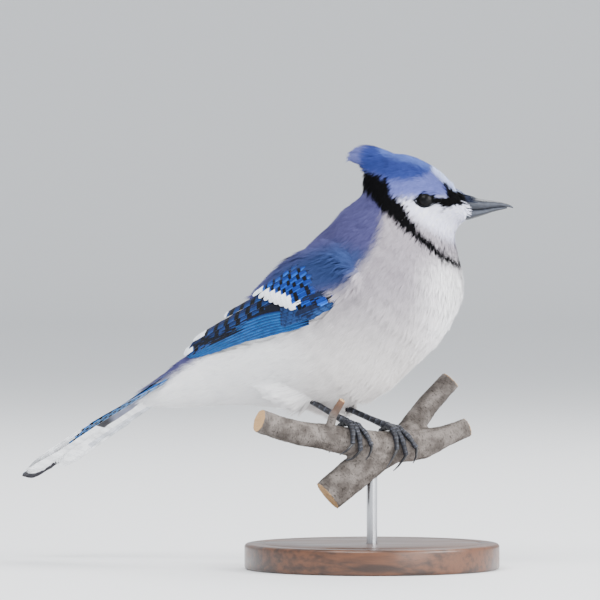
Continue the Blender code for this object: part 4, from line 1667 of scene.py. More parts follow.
class CoatTree:
    """The Geometry Nodes tree that sows tufts on a stretch of skin."""

    def __init__(self) -> None:
        """Makes the tree, its inputs and its nodes."""
        self.tree = bpy.data.node_groups.new("feather_coat", "GeometryNodeTree")
        self.bench = Bench(self.tree)
        face = self.tree.interface
        face.new_socket("Skin", in_out="INPUT", socket_type="NodeSocketGeometry")
        self.keys = {}
        kinds = {
            "Spacing": "Float", "Density": "Float", "Width": "Float", "Yaw": "Float",
            "Roll": "Float", "Seed": "Int", "Tufts": "Collection", "Finish": "Material",
        }
        for name, kind in kinds.items():
            socket = face.new_socket(name, in_out="INPUT", socket_type=f"NodeSocket{kind}")
            self.keys[name] = socket.identifier
        face.new_socket("Coat", in_out="OUTPUT", socket_type="NodeSocketGeometry")
        self.wire()

    def field(self, name: str, kind: str = "FLOAT") -> Socket:
        """A value painted on the skin or a tuft."""
        node = self.bench.node("GeometryNodeInputNamedAttribute", {"Name": name}, data_type=kind)
        return self.bench.out(node, "Attribute")

    def random(self, low: object, high: object, seed: object) -> Socket:
        """A random number for each tuft."""
        inputs = {"Min": low, "Max": high, "Seed": seed}
        return self.bench.out(self.bench.node("FunctionNodeRandomValue", inputs, data_type="FLOAT"), "Value")

    def wire(self) -> None:
        """Sows points, stands a tuft on each along the lie, and makes them real."""
        bench = self.bench
        given = bench.node("NodeGroupInput").outputs
        seed = given["Seed"]
        sown = bench.node(
            "GeometryNodeDistributePointsOnFaces",
            {
                "Mesh": given["Skin"],
                "Distance Min": given["Spacing"],
                "Density Max": given["Density"],
                "Density Factor": self.field("cover"),
                "Seed": seed,
            },
            distribute_method="POISSON",
        )
        points = sown.outputs["Points"]
        spot = bench.node("GeometryNodeInputPosition").outputs[0]
        points = self.stored(points, "root", "FLOAT_VECTOR", "POINT", spot)
        points = self.stored(points, "patch", "FLOAT_VECTOR", "POINT", self.field(BAKE_MAP, "FLOAT_VECTOR"))
        stand = bench.node(
            "FunctionNodeAxesToRotation",
            {
                "Primary Axis": self.field("out", "FLOAT_VECTOR"),
                "Secondary Axis": self.field("lie", "FLOAT_VECTOR"),
            },
            primary_axis="Z",
            secondary_axis="X",
        ).outputs[0]
        offsets = [bench.math("MULTIPLY", given[key], -1.0) for key in ("Roll", "Yaw")]
        turn = bench.vector(
            self.random(offsets[0], given["Roll"], bench.math("ADD", seed, 11)),
            0.0,
            self.random(offsets[1], given["Yaw"], bench.math("ADD", seed, 12)),
        )
        turn = bench.node("FunctionNodeEulerToRotation", {0: turn}).outputs[0]
        stand = bench.node(
            "FunctionNodeRotateRotation", {"Rotation": stand, "Rotate By": turn}, rotation_space="LOCAL"
        ).outputs[0]
        length = self.random(0.78, 1.16, bench.math("ADD", seed, 13))
        width = self.random(0.85, 1.2, bench.math("ADD", seed, 14))
        scale = bench.vector(
            bench.math("MULTIPLY", self.field("reach"), length),
            bench.math("MULTIPLY", given["Width"], width),
            self.field("depth"),
        )
        tufts = bench.node(
            "GeometryNodeCollectionInfo", {"Collection": given["Tufts"], "Separate Children": True}
        )
        which = bench.node("FunctionNodeRandomValue", {"Seed": bench.math("ADD", seed, 15)}, data_type="INT")
        bench.feed(which, "Min", 0)
        bench.feed(which, "Max", 3)
        stood = bench.node(
            "GeometryNodeInstanceOnPoints",
            {
                "Points": points,
                "Instance": tufts.outputs[0],
                "Pick Instance": True,
                "Instance Index": bench.out(which, "Value"),
                "Rotation": stand,
                "Scale": scale,
            },
        )
        real = bench.node("GeometryNodeRealizeInstances", {0: stood.outputs[0]}).outputs[0]
        spot = self.field("flat", "FLOAT_VECTOR")
        steps = (
            ("SUBTRACT", (0.5, 0.5, 0.0)), ("MULTIPLY", (TUFT_PATCH,) * 3),
            ("ADD", self.field("patch", "FLOAT_VECTOR")),
        )
        for operation, by in steps:
            spot = bench.node("ShaderNodeVectorMath", {0: spot, 1: by}, operation=operation).outputs[0]
        real = self.stored(real, BAKE_MAP, "FLOAT2", "CORNER", spot)
        dressed = bench.node("GeometryNodeSetMaterial", {"Geometry": real, "Material": given["Finish"]})
        out = bench.node("NodeGroupOutput")
        bench.tree.links.new(dressed.outputs[0], out.inputs[0])

    def stored(self, geometry: object, name: str, kind: str, domain: str, value: object) -> Socket:
        """Stores a value under a name.

        Args:
            geometry: What it is stored on.
            name: Its name.
            kind: Its data type.
            domain: What carries it.
            value: The value.

        Returns:
            The geometry.
        """
        inputs = {"Geometry": geometry, "Name": name, "Value": value}
        made = self.bench.node("GeometryNodeStoreNamedAttribute", inputs, data_type=kind, domain=domain)
        return made.outputs[0]


@dataclass(frozen=True)
class Zone:
    """A stretch of coat: the skin that it grows on and how its tufts are sown."""

    name: str
    slot: str
    tracts: tuple[Tract, ...]
    places: tuple[float, float]
    spacing: float
    width: float
    barbs: int = 7
    angles: tuple[float, float] = (0.0, 180.0)
    yaw: float = 11.0
    roll: float = 7.0

    def holds(self, tract: Rows, place: Rows, angle: Rows) -> Rows:
        """Whether each point of the skin is in the zone."""
        away = np.degrees(np.minimum(angle, 2 * math.pi - angle))
        low, high = self.places
        found = np.isin(tract.round().astype(int), [t.value for t in self.tracts])
        found &= (place >= low) & (place < high)
        return found & (away >= self.angles[0]) & (away <= self.angles[1])


ZONES = (
    Zone("face", "head_plumage", (Tract.BODY,), (12.4, 19), 0.5, 0.85, 7),
    Zone("crest_tip", "head_plumage", (Tract.CREST,), (2.9, 5), 1.5, 1.25, 5, yaw=20, roll=18),
    Zone("crest", "head_plumage", (Tract.CREST,), (0, 5), 0.62, 1.2, 9, yaw=8),
    Zone("neck", "back_plumage", (Tract.BODY,), (9.6, 12.4), 0.68, 1.3, 9),
    Zone("mantle", "back_plumage", (Tract.BODY,), (6.0, 9.6), 0.82, 2.0, 9, angles=(0, 78)),
    Zone("breast", "pale_plumage", (Tract.BODY,), (6.0, 9.6), 0.8, 1.8, 9, angles=(78, 181), yaw=8, roll=4),
    Zone("rump", "back_plumage", (Tract.BODY,), (0, 6.0), 0.9, 2.2, 9, angles=(0, 78)),
    Zone("belly", "pale_plumage", (Tract.BODY,), (2.4, 6.0), 0.84, 2.0, 9, angles=(78, 181), yaw=8, roll=4),
    Zone("undertail", "pale_plumage", (Tract.BODY,), (0, 2.4), 0.9, 2.2, 9, angles=(78, 181), yaw=8, roll=4),
    Zone("shoulder", "back_plumage", (Tract.WING,), (0, 8), 0.82, 1.9, 9),
)


@dataclass
class Coat:
    """The jay's body feathers, sown on the skin zone by zone."""

    skin: Skin
    most_each: int = 6900
    packing: float = 0.72
    variants: int = 4
    tone_jitter: float = 0.07
    edge_jitter: float = 0.45
    seen_at: float = 0.62
    finish: Material = field(init=False)
    tree: CoatTree = field(init=False)

    def build(self) -> None:
        """Sows every zone."""
        self.finish = TuftFinish("body_feathers", roughness=0.85, specular=0.08).made()
        self.tree = CoatTree()
        mesh = self.skin.obj.data
        tract, place, angle = (read_field(mesh, name, "FLOAT") for name in ("tract", "place", "angle"))
        sides = [tuple(f.vertices) for f in mesh.polygons]
        first = np.array([s[0] for s in sides])
        areas = np.array([f.area for f in mesh.polygons]) / MM**2
        cover = read_field(mesh, "cover", "FLOAT")[first]
        taken = np.zeros(len(sides), bool)
        for number, zone in enumerate(ZONES):
            chosen = zone.holds(tract[first], place[first], angle[first]) & ~taken
            taken |= chosen
            wanted = areas * cover * self.packing / zone.spacing**2
            parts = max(1, math.ceil(wanted[chosen].sum() / self.most_each))
            order = np.flatnonzero(chosen)
            order = order[np.argsort(place[first][order], kind="stable")]
            share = np.cumsum(wanted[order]) / max(wanted[order].sum(), 1e-9)
            for part in range(parts):
                inside = order[(share > part / parts) & (share <= (part + 1) / parts)]
                keep = np.zeros(len(sides), bool)
                keep[inside] = True
                name = f"coat_{zone.name}" + (f"_{part + 1}" if parts > 1 else "")
                self.sow(name, zone, keep, number * 100 + part)

    def sow(self, name: str, zone: Zone, keep: Rows, seed: int) -> None:
        """Sows one stretch of a zone.

        Args:
            name: The piece's name.
            zone: The zone.
            keep: Which faces of the skin it grows on.
            seed: The seed of all that is random in it.
        """
        shape = TuftShape("tuft", zone.barbs)
        group = bpy.data.collections.new("tufts")
        tufts = [shape.build(seed * 10 + k) for k in range(self.variants)]
        for tuft in tufts:
            group.objects.link(tuft)
        each = len(tufts[0].data.vertices)
        holder = placed(name, self.stretch(keep))
        modifier = holder.modifiers.new("coat", "NODES")
        modifier.node_group = self.tree.tree
        density = 4.0 / (zone.spacing * MM) ** 2
        values = {
            "Spacing": zone.spacing * MM, "Density": density, "Width": zone.width * MM,
            "Yaw": math.radians(zone.yaw), "Roll": math.radians(zone.roll), "Seed": seed,
            "Tufts": group, "Finish": self.finish,
        }
        for key, value in values.items():
            modifier[self.tree.keys[key]] = value
        mesh = baked(holder)
        for tuft in tufts:
            data = tuft.data
            bpy.data.objects.remove(tuft)
            bpy.data.meshes.remove(data)
        bpy.data.collections.remove(group)
        self.colour(mesh, each, seed)
        mesh.materials.clear()
        piece = placed(name, mesh, self.finish)
        settled(piece)

    def stretch(self, keep: Rows) -> Mesh:
        """Copies some of the skin's faces with what is painted on them."""
        tool = bmesh.new()
        tool.from_mesh(self.skin.obj.data)
        tool.faces.ensure_lookup_table()
        gone = [tool.faces[k] for k in np.flatnonzero(~keep)]
        bmesh.ops.delete(tool, geom=gone, context="FACES")
        mesh = bpy.data.meshes.new("stretch")
        tool.to_mesh(mesh)
        tool.free()
        return mesh

    def colour(self, mesh: Mesh, each: int, seed: int) -> None:
        """Gives each tuft the tone of the marking, with its painted light, where its end shows.

        Args:
            mesh: The sown tufts.
            each: How many vertices a tuft has.
            seed: The seed of its small differences.
        """
        root = read_field(mesh, "root", "FLOAT_VECTOR")[::each].astype(float) / MM
        points = vertex_points(mesh)
        middle = points.reshape(-1, each, 3)[:, (each // 10) * 5 + 4]
        visible = root + (middle - root) * self.seen_at
        random = np.random.default_rng(seed)
        shift = random.normal(0, self.edge_jitter, (len(root), 2)).clip(-1, 1)
        tones = self.skin.plumage.tones(visible, shift)
        tones *= 1 + random.normal(0, self.tone_jitter, (len(root), 1))
        write_field(mesh, "tint", np.repeat(tones.clip(0.002, 0.95), each, axis=0), "FLOAT_COLOR")
        kept = {
            "along", "barb", "tint", BAKE_MAP, "position", ".corner_vert", ".edge_verts", ".corner_edge",
            "material_index", "sharp_face",
        }
        for name in [a.name for a in mesh.attributes if a.name not in kept]:
            mesh.attributes.remove(mesh.attributes[name])


# Flight feathers
@dataclass(frozen=True)
class Vane:
    """One flight feather or covert: its shaft's line seen from the side, and its webs."""

    path: Path
    outer: float
    inner: float
    lift: float
    sink: float = 0.8
    white: float = 0.0
    phase: float = 0.0
    blunt: float = 1.0
    pitch: float = 0.0
    pale_outer: float = 0.0
    dark_under: float = 0.0


@dataclass
class VaneMaker:
    """Makes thin closed vanes, with the values that their finish reads."""

    rows: int = 22
    across: tuple[float, ...] = (-1.0, -0.85, -0.6, -0.3, -0.07, 0.07, 0.3, 0.6, 0.85, 1.0)
    thickness: float = 0.12
    shells: ShellMaker = field(default_factory=ShellMaker)
    random: np.random.Generator = field(default_factory=lambda: np.random.default_rng(5))

    def add(self, line: Rows, normals: Rows, sides: Rows, vane: Vane, droop: Rows | float = 0.0) -> None:
        """Adds one vane.

        Args:
            line: Points along its shaft, from its base to its tip.
            normals: The way that its upper face looks at each.
            sides: The way to its outer web at each.
            vane: Its webs and marks.
            droop: How far its outer web is bent down, in degrees.
        """
        steps = np.linalg.norm(np.diff(line, axis=0), axis=1)
        run = np.r_[0.0, np.cumsum(steps)]
        length = run[-1]
        part = run / length
        base = np.clip(0.3 + part * 5, 0, 1)
        offsets, heights, spots = [], [], []
        angle = np.radians(np.broadcast_to(droop, part.shape))
        for a in self.across:
            width = vane.outer if a > 0 else vane.inner
            round_from = 1 - vane.blunt * width / length
            tip = np.clip((part - round_from) / (1 - round_from), 0, 1)
            shape = base * np.sqrt(np.clip(1 - tip**2.2, 0.0, 1))
            ragged = 1 + 0.05 * self.random.normal(0, 1, len(part)) * (abs(a) > 0.9)
            reach = a * width * shape * ragged
            bend = angle if a > 0 else np.zeros_like(angle)
            offsets.append(reach * np.cos(bend))
            heights.append(-np.abs(reach) * np.sin(bend) - 0.05 * width * a * a + 0.07 * (abs(a) < 0.1))
            spots.append(np.full(len(part), a))
        offsets, heights, spots = (np.stack(v, 1) for v in (offsets, heights, spots))
        top = line[:, None] + sides[:, None] * offsets[..., None] + normals[:, None] * heights[..., None]
        bottom = top - normals[:, None] * self.thickness
        rings = np.concatenate([top, bottom[:, ::-1]], 1)
        spots = np.concatenate([spots, spots[:, ::-1]], 1)
        count = len(self.across)
        under = np.r_[np.zeros(count), np.ones(count)][None].repeat(len(part), 0)
        self.shells.add(
            rings,
            from_tip=(length - run)[:, None],
            across=spots,
            under=under,
            white=np.full((1, 1), vane.white),
            phase=np.full((1, 1), vane.phase),
            pitch=np.full((1, 1), vane.pitch),
            pale_outer=np.full((1, 1), vane.pale_outer),
            dark_under=np.full((1, 1), vane.dark_under),
        )

    def piece(self, name: str, finish: Material, nodes: tuple[str, ...]) -> Object:
        """Makes the piece of all vanes so far.

        Args:
            name: The piece's name.
            finish: Its material.
            nodes: The nodes that it stands for.

        Returns:
            The piece.
        """
        return settled(placed(name, self.shells.mesh(name), finish), nodes)


@dataclass
class Wings:
    """The folded wings: their feathers laid over one another on the wing's outer face."""

    form: BodyForm
    degree: int = 4
    fit: Rows = field(init=False)
    centre: tuple[float, float] = (-50.0, 122.0)
    span: float = 45.0

    def build(self) -> None:
        """Lays each group of feathers on the right wing, and its mirror image on the left."""
        self.fit_face()
        groups = {
            "primaries": (self.primaries(), PRIMARY_FINISH),
            "secondaries": (self.secondaries(), SECONDARY_FINISH),
            "primary_coverts": (self.primary_coverts(), PRIMARY_COVERT_FINISH),
            "wing_bars": (self.greater_coverts(), COVERT_FINISH),
        }
        for name, (vanes, look) in groups.items():
            finish = look.made()
            for side in Side:
                maker = VaneMaker()
                for vane in vanes:
                    maker.add(*self.laid(vane, side), vane)
                maker.piece(f"{name}_{side.word}", finish, (f"wing_{side.word}",))

    def fit_face(self) -> None:
        """Fits a smooth face, y by x and z, to the outer side of the right wing."""
        angles = np.radians(np.arange(16, 165, 6))
        grid = self.form.wing_grid(np.arange(0, 6.6, 0.1), angles, Side.RIGHT).reshape(-1, 3)
        self.fit = np.linalg.lstsq(self.powers(grid[:, 0], grid[:, 2]), grid[:, 1], rcond=None)[0]
        error = self.face(grid[:, 0], grid[:, 2]) - grid[:, 1]
        LOG.info("wing face fitted within %.2f mm on average", np.abs(error).mean())

    def powers(self, x: Rows, z: Rows) -> Rows:
        """The terms of the fitted face at each point."""
        u, v = (x - self.centre[0]) / self.span, (z - self.centre[1]) / self.span
        terms = [u**i * v**j for i in range(self.degree + 1) for j in range(self.degree + 1 - i)]
        return np.stack(terms, -1)

    def face(self, x: Rows, z: Rows) -> Rows:
        """The fitted face's y at each point."""
        return self.powers(x, z) @ self.fit

    def laid(self, vane: Vane, side: Side) -> tuple[Rows, Rows, Rows]:
        """Lays a vane's shaft on the face.

        Args:
            vane: The vane.
            side: Which wing.

        Returns:
            The shaft's points, the way out and the way to its outer web at each.
        """
        spread = 1 - (1 - np.linspace(0, 1, 22)) ** 1.5
        flat = run_through(vane.path, spread * (len(vane.path) - 1))
        x, z = flat[:, 0], flat[:, 1]
        step = 0.2
        slope_x = (self.face(x + step, z) - self.face(x - step, z)) / (2 * step)
        slope_z = (self.face(x, z + step) - self.face(x, z - step)) / (2 * step)
        normals = unit(np.stack([slope_x, -np.ones_like(x), slope_z], 1))
        height = vane.lift - vane.sink * (1 - spread) ** 1.5
        line = np.stack([x, self.face(x, z), z], 1) + normals * height[:, None]
        sides = unit(np.cross(directions(line), normals))
        sides *= -np.sign(sides[:, 2:3])
        if side is Side.LEFT:
            moved = self.form.mirrored(line)
            normals = unit(self.form.mirrored(line + normals) - moved)
            sides = unit(self.form.mirrored(line + sides) - moved)
            line = moved
        return line, normals, sides

    def primaries(self) -> list[Vane]:
        """The long azure feathers of the wing's lower edge, the lowest one innermost."""
        tips = (
            (-85.0, 101.6), (-86.6, 100.1), (-87.6, 99.2), (-87.0, 98.9),
            (-85.4, 98.9), (-83.0, 99.5), (-78.6, 101.0), (-72.0, 103.2),
        )
        found = []
        for k, tip in enumerate(tips):
            start = (-30.0, 124.0 - 1.2 * k)
            path = (
                start,
                (-42.0, 121.9 - 1.25 * k),
                (-52.5, 119.4 - 1.36 * k),
                (-68.0, 112.3 - 1.2 * k) if k < 7 else (-62.0, 107.8),
                tip,
            )
            found.append(Vane(path, 1.7, 4.2, 0.45 - 0.12 * k, 0.6, 0.0, k * 0.7, 2.2))
        return found

    def secondaries(self) -> list[Vane]:
        """The barred feathers above them, three of them broad and white at their tips."""
        lines = (
            (((-46.0, 131.0), (-58.0, 124.3), (-68.8, 118.0)), 2.3, 1.9, 3.0, 0.0),
            (((-45.0, 128.6), (-58.0, 121.4), (-71.0, 113.8), (-83.8, 106.0)), 2.2, 2.4, 10.5, 3.0),
            (((-44.5, 126.6), (-58.0, 119.5), (-71.0, 112.0), (-81.0, 105.2), (-88.3, 99.8)),
             1.8, 2.3, 8.0, 1.2),
            (((-44.0, 124.9), (-58.0, 118.3), (-70.0, 111.4), (-80.0, 104.8), (-86.5, 100.3)),
             1.8, 4.0, 0.0, 5.0),
            (((-44.0, 123.4), (-58.0, 117.2), (-69.0, 111.2), (-80.0, 104.2), (-85.0, 100.8)),
             1.8, 4.0, 0.0, 2.4),
        )
        return [
            Vane(path, outer, inner, 1.3 - 0.13 * k, 0.9, white, phase, 1.6)
            for k, (path, outer, inner, white, phase) in enumerate(lines)
        ]

    def greater_coverts(self) -> list[Vane]:
        """The wing bars: blue feathers with black bars, most with a white tip."""
        # Tip x and z, direction to the base in degrees, white tip's length, bars' shift and
        # what is added to their spacing.
        rows = (
            (-55.0, 127.9, 39.0, 7.3, 0.0, -0.4), (-52.4, 127.2, 38.0, 7.5, 0.5, 0.0),
            (-50.0, 126.5, 37.0, 7.6, 0.2, 0.3), (-47.7, 125.8, 35.5, 7.8, 0.8, 0.6),
            (-45.5, 125.1, 34.0, 7.8, 0.1, 0.9), (-43.2, 124.4, 32.5, 7.4, 0.5, 1.1),
            (-41.0, 123.7, 31.0, 4.6, 0.2, 1.4), (-38.7, 122.7, 29.5, 7.1, 0.9, 1.7),
            (-35.6, 123.2, 28.5, 0.0, 1.6, 2.0), (-32.6, 122.6, 27.5, 0.0, 2.8, 2.4),
            (-29.4, 123.4, 27.0, 0.0, 1.0, 2.6),
        )
        found = []
        for k, (x, z, angle, white, phase, spread) in enumerate(rows):
            way = math.radians(angle)
            length = 27 - 1.3 * k
            base = (x + length * math.cos(way), z + length * math.sin(way))
            middle = (x + 13 * math.cos(way - 0.03), z + 13 * math.sin(way - 0.03))
            lift = 1.5 - 0.1 * k
            line = (base, middle, (x, z))
            found.append(Vane(line, 1.75, 1.75, lift, 2.4, white, phase, 1.3, spread))
        return found

    def primary_coverts(self) -> list[Vane]:
        """The dusky coverts at the lower edge and the three small feathers of the alula."""
        found = []
        for k in range(6):
            path = ((-16.0, 131.6 - 1.2 * k), (-30.0, 127.0 - 1.35 * k), (-42.8, 122.6 - 1.5 * k))
            found.append(Vane(path, 1.7, 2.0, 0.75 - 0.1 * k, 1.2, 0.0, 0.6 * k, 1.4))
        for k in range(3):
            path = ((-14.0, 130.8 - 1.6 * k), (-23.0, 124.8 - 0.8 * k), (-35.5 + 2.6 * k, 119.0 - 0.4 * k))
            found.append(Vane(path, 1.9, 2.2, 1.15 - 0.12 * k, 3.2, 0.0, 2.0 * k, 1.4))
        return found


PRIMARY_FINISH = VaneFinish(
    "primary_vanes", 0.55, 0.14, outer_tone=tone(8, 38, 88), edge_tone=tone(26, 90, 156),
    inner_tone=tone(12, 16, 28), bar_share=0.0, bar_depth=0.0, under_tone=tone(78, 82, 94),
    edge_start=0.15,
)
SECONDARY_FINISH = VaneFinish(
    "secondary_vanes", 0.55, 0.14, outer_tone=tone(20, 46, 98), edge_tone=tone(28, 70, 134),
    inner_tone=tone(20, 34, 74), bar_pitch=8.4, bar_share=0.42, inner_barred=1.0,
    under_tone=tone(78, 82, 94),
)
PRIMARY_COVERT_FINISH = VaneFinish(
    "primary_covert_vanes", 0.55, 0.14, outer_tone=tone(24, 50, 96), edge_tone=tone(38, 74, 128),
    inner_tone=tone(18, 28, 54), bar_pitch=3.6, bar_share=0.3, bar_depth=0.5, inner_barred=0.6,
    bar_tone=tone(12, 16, 32),
)
COVERT_FINISH = VaneFinish(
    "wing_bar_vanes", 0.55, 0.14, outer_tone=tone(8, 72, 170), edge_tone=tone(24, 108, 214),
    inner_tone=tone(10, 46, 124), bar_pitch=5.4, bar_share=0.34, inner_barred=1.0,
)
TAIL_FINISH = VaneFinish(
    "tail_vanes", 0.55, 0.14, tip_tone=tone(252, 253, 255), outer_tone=tone(34, 100, 178),
    edge_tone=tone(80, 150, 214),
    inner_tone=tone(40, 48, 72), bar_pitch=5.6, bar_share=0.32, under_tone=tone(118, 122, 142),
    under_outer_tone=tone(214, 217, 224),
)


@dataclass
class Tail:
    """The folded tail: twelve feathers in a flat stack, their outer webs bent down at its sides."""

    form: BodyForm
    # Middle x and z, half width, half thickness.
    stations: Path = (
        (-86.0, 103.0, 7.0, 1.7),
        (-92.0, 99.0, 7.5, 1.7),
        (-113.0, 85.4, 10.5, 1.7),
        (-140.0, 68.2, 14.0, 1.5),
        (-162.0, 53.8, 15.2, 1.2),
        (-174.0, 46.8, 14.4, 1.0),
        (-181.0, 42.8, 12.8, 0.8),
        (-187.6, 39.3, 10.5, 0.6),
    )
    roll: float = 10.0
    arch: float = 1.6
    stack: float = 4.4
    # How far the left side's feathers fall short of the right side's, and the white tips of its
    # outer ones, counted from this pair on.
    left_short: float = 10.0
    left_white: float = 74.0
    left_white_from: int = 3
    # How deep in the stack the outermost pair lies, and how much deeper each right feather is.
    deepest: float = 0.92
    deeper_right: float = 0.07
    # For each pair from the middle one outwards: the shaft's place between the middle and the
    # edge, outer and inner web, white tip, outer web's bend in degrees, how far its tip falls
    # short, paleness of its outer web, darkness of its underside.
    pairs: Path = (
        (0.15, 5.6, 5.6, 0.0, 4.0, 0.0, 0.0, 1.0),
        (0.42, 4.4, 9.0, 20.0, 24.0, 3.6, 0.0, 0.0),
        (0.6, 3.4, 10.0, 30.0, 44.0, 4.1, 0.0, 0.0),
        (0.74, 2.0, 11.0, 34.0, 58.0, 4.7, 0.0, 0.0),
        (0.84, 1.1, 12.5, 38.0, 64.0, 5.6, 0.0, 0.0),
        (0.93, 0.6, 14.5, 42.0, 6.0, 7.0, 0.3, 0.0),
    )

    def point(self, place: Rows, across: Rows, level: Rows) -> Rows:
        """Points in the stack.

        Args:
            place: Places along the tail.
            across: From -1 at its right side to 1 at its left.
            level: From 0 at its top to 1 at its bottom.

        Returns:
            The points.
        """
        rows = run_through(self.stations, place)
        side = rows[..., 2] * across
        thin = np.interp(rows[..., 0], (-187, -158, -136, -107), (0.12, 0.17, 0.45, 1.0))
        rise = rows[..., 3] * 0.8 - self.arch * across**2 * thin - level * self.stack * thin
        roll = math.radians(self.roll)
        left = side * math.cos(roll) + rise * math.sin(roll)
        up = rise * math.cos(roll) - side * math.sin(roll)
        return self.form.turned(np.stack([rows[..., 0], left, rows[..., 1] + up], -1), self.form.turn)

    def build(self) -> None:
        """Makes the feathers from the middle pair outwards."""
        maker = VaneMaker(rows=34)
        table = np.array(self.stations)
        places = np.arange(len(table))
        for pair, (share, outer, inner, white, bend, short, pale, dark) in enumerate(self.pairs):
            for side in Side:
                level = pair / (len(self.pairs) - 1) * self.deepest
                level += self.deeper_right if side is Side.RIGHT else 0.0
                less = short + (self.left_short if pair and side is Side.LEFT else 0.0)
                whiter = side is Side.LEFT and pair >= self.left_white_from
                tipped = self.left_white if whiter else white
                end = np.interp(-table[-1, 0] - less, -table[:, 0], places)
                spread = (1 - (1 - np.linspace(0, 1, maker.rows)) ** 1.5) * end
                across = side.value * share * np.interp(spread, (0, 2, 5, end), (0.8, 1.0, 1.0, 0.8))
                line = self.point(spread, across, level)
                out = unit(self.point(spread, across + 0.05 * side.value, level) - line)
                normals = unit(np.cross(directions(line), out))
                normals *= np.sign(normals[:, 2:3])
                vane = Vane((), outer, inner, 0.0, 0.0, tipped, 1.3 * pair + 2.4, 0.75, 0.0, pale, dark)
                droop = np.interp(spread, (0, 4, 5.4, end), (bend, bend, 0.4 * bend, 4.0))
                maker.add(line, normals, out, vane, droop)
        maker.piece("tail_feathers", TAIL_FINISH.made(), ("tail",))


# Head details
@dataclass(frozen=True)
class Eyes:
    """The two eyes: dark balls with a slightly raised clear front."""

    place: tuple[float, float] = (24.4, 173.3)
    off_middle: float = 13.1
    radius: float = 4.4
    bulge: float = 0.14

    def centre(self, side: Side) -> Rows:
        """The centre of one eye."""
        return np.array((self.place[0], -8.0 + side.value * self.off_middle, self.place[1]))

    def build(self) -> None:
        """Makes both eyes."""
        finish = EyeFinish("eye", roughness=0.4, specular=0.08, coat=0.07, coat_roughness=0.02).made()
        for side in Side:
            leans = np.radians(np.linspace(1.5, 178.5, 60))
            turns = 2 * math.pi * np.arange(64) / 64
            off = self.radius * np.sin(leans)
            raised = self.bulge * np.exp(-((off / 2.4) ** 2)) * (np.cos(leans) > 0)
            ahead = self.radius * np.cos(leans) + raised
            rings = np.empty((len(leans), len(turns), 3))
            rings[..., 0] = off[:, None] * np.cos(turns)
            rings[..., 1] = side.value * ahead[:, None]
            rings[..., 2] = off[:, None] * np.sin(turns)
            off = np.where(leans < math.pi / 2, off, self.radius)
            shells = ShellMaker()
            shells.add(rings + self.centre(side), off_axis=off[:, None], turn=turns[None])
            name = f"eyeball_{side.word}"
            settled(placed(name, shells.mesh(name), finish), (f"eye_{side.word}",))


@dataclass(frozen=True)
class Bill:
    """The bill's two halves, with a ridge above, sharp edges and a hooked point."""

    # Middle x and z, half height, half width.
    upper: Path = (
        (36.0, 173.2, 4.6, 5.2), (41.5, 172.4, 3.45, 4.7), (45.6, 172.1, 2.9, 4.4),
        (51.5, 171.6, 2.1, 3.4), (57.2, 171.6, 1.35, 2.3), (61.7, 171.3, 0.8, 1.4),
        (64.6, 170.6, 0.5, 0.8), (66.0, 169.9, 0.2, 0.3),
    )
    lower: Path = (
        (36.0, 166.0, 2.1, 4.7), (41.5, 166.2, 2.3, 4.2), (45.6, 166.55, 2.35, 3.9),
        (51.5, 167.6, 1.6, 2.9), (56.6, 168.85, 1.1, 1.9), (61.0, 169.5, 0.65, 1.0),
        (63.2, 169.7, 0.25, 0.4),
    )
    steps: int = 40
    middle_y: float = -8.0
    close: float = 0.2

    def build(self) -> None:
        """Makes both halves."""
        finish = BillFinish("bill_horn", roughness=0.4, specular=0.35, coat=0.1, coat_roughness=0.2).made()
        for name, stations, flat_side in (("bill_upper", self.upper, -1), ("bill_lower", self.lower, 1)):
            rows = run_through(stations, np.linspace(0, len(stations) - 1, 60))
            angles = 2 * math.pi * np.arange(self.steps) / self.steps
            rise, across = np.cos(angles), np.sin(angles)
            flat = rise * flat_side > 0
            ridge = np.abs(across) ** 1.12 * np.sign(across)
            wide = np.sign(across) * np.sqrt(np.abs(across))
            across = np.where(flat, wide, ridge)
            rise = np.where(flat, flat_side, rise)
            near_edge = np.where(flat, 0.0, np.exp(-((np.cos(angles) / 0.3) ** 2)))
            rings = np.empty((len(rows), self.steps, 3))
            rings[..., 0] = rows[:, 0, None]
            rings[..., 1] = self.middle_y + rows[:, 3, None] * across
            closed = np.where(flat, flat_side * self.close, 0.0)
            rings[..., 2] = rows[:, 1, None] + rows[:, 2, None] * rise + closed
            # edge: where the horn is painted pale, partly worn and partly a painted sheen, along the cutting
            # edges and towards the point.
            edge = near_edge[None] * 0.7 + np.linspace(0, 0.35, len(rows))[:, None] ** 2
            shells = ShellMaker()
            shells.add(rings, edge=np.clip(edge, 0, 1))
            piece = placed(f"{name}_horn", shells.mesh(name), finish)
            settled(piece, (name,))


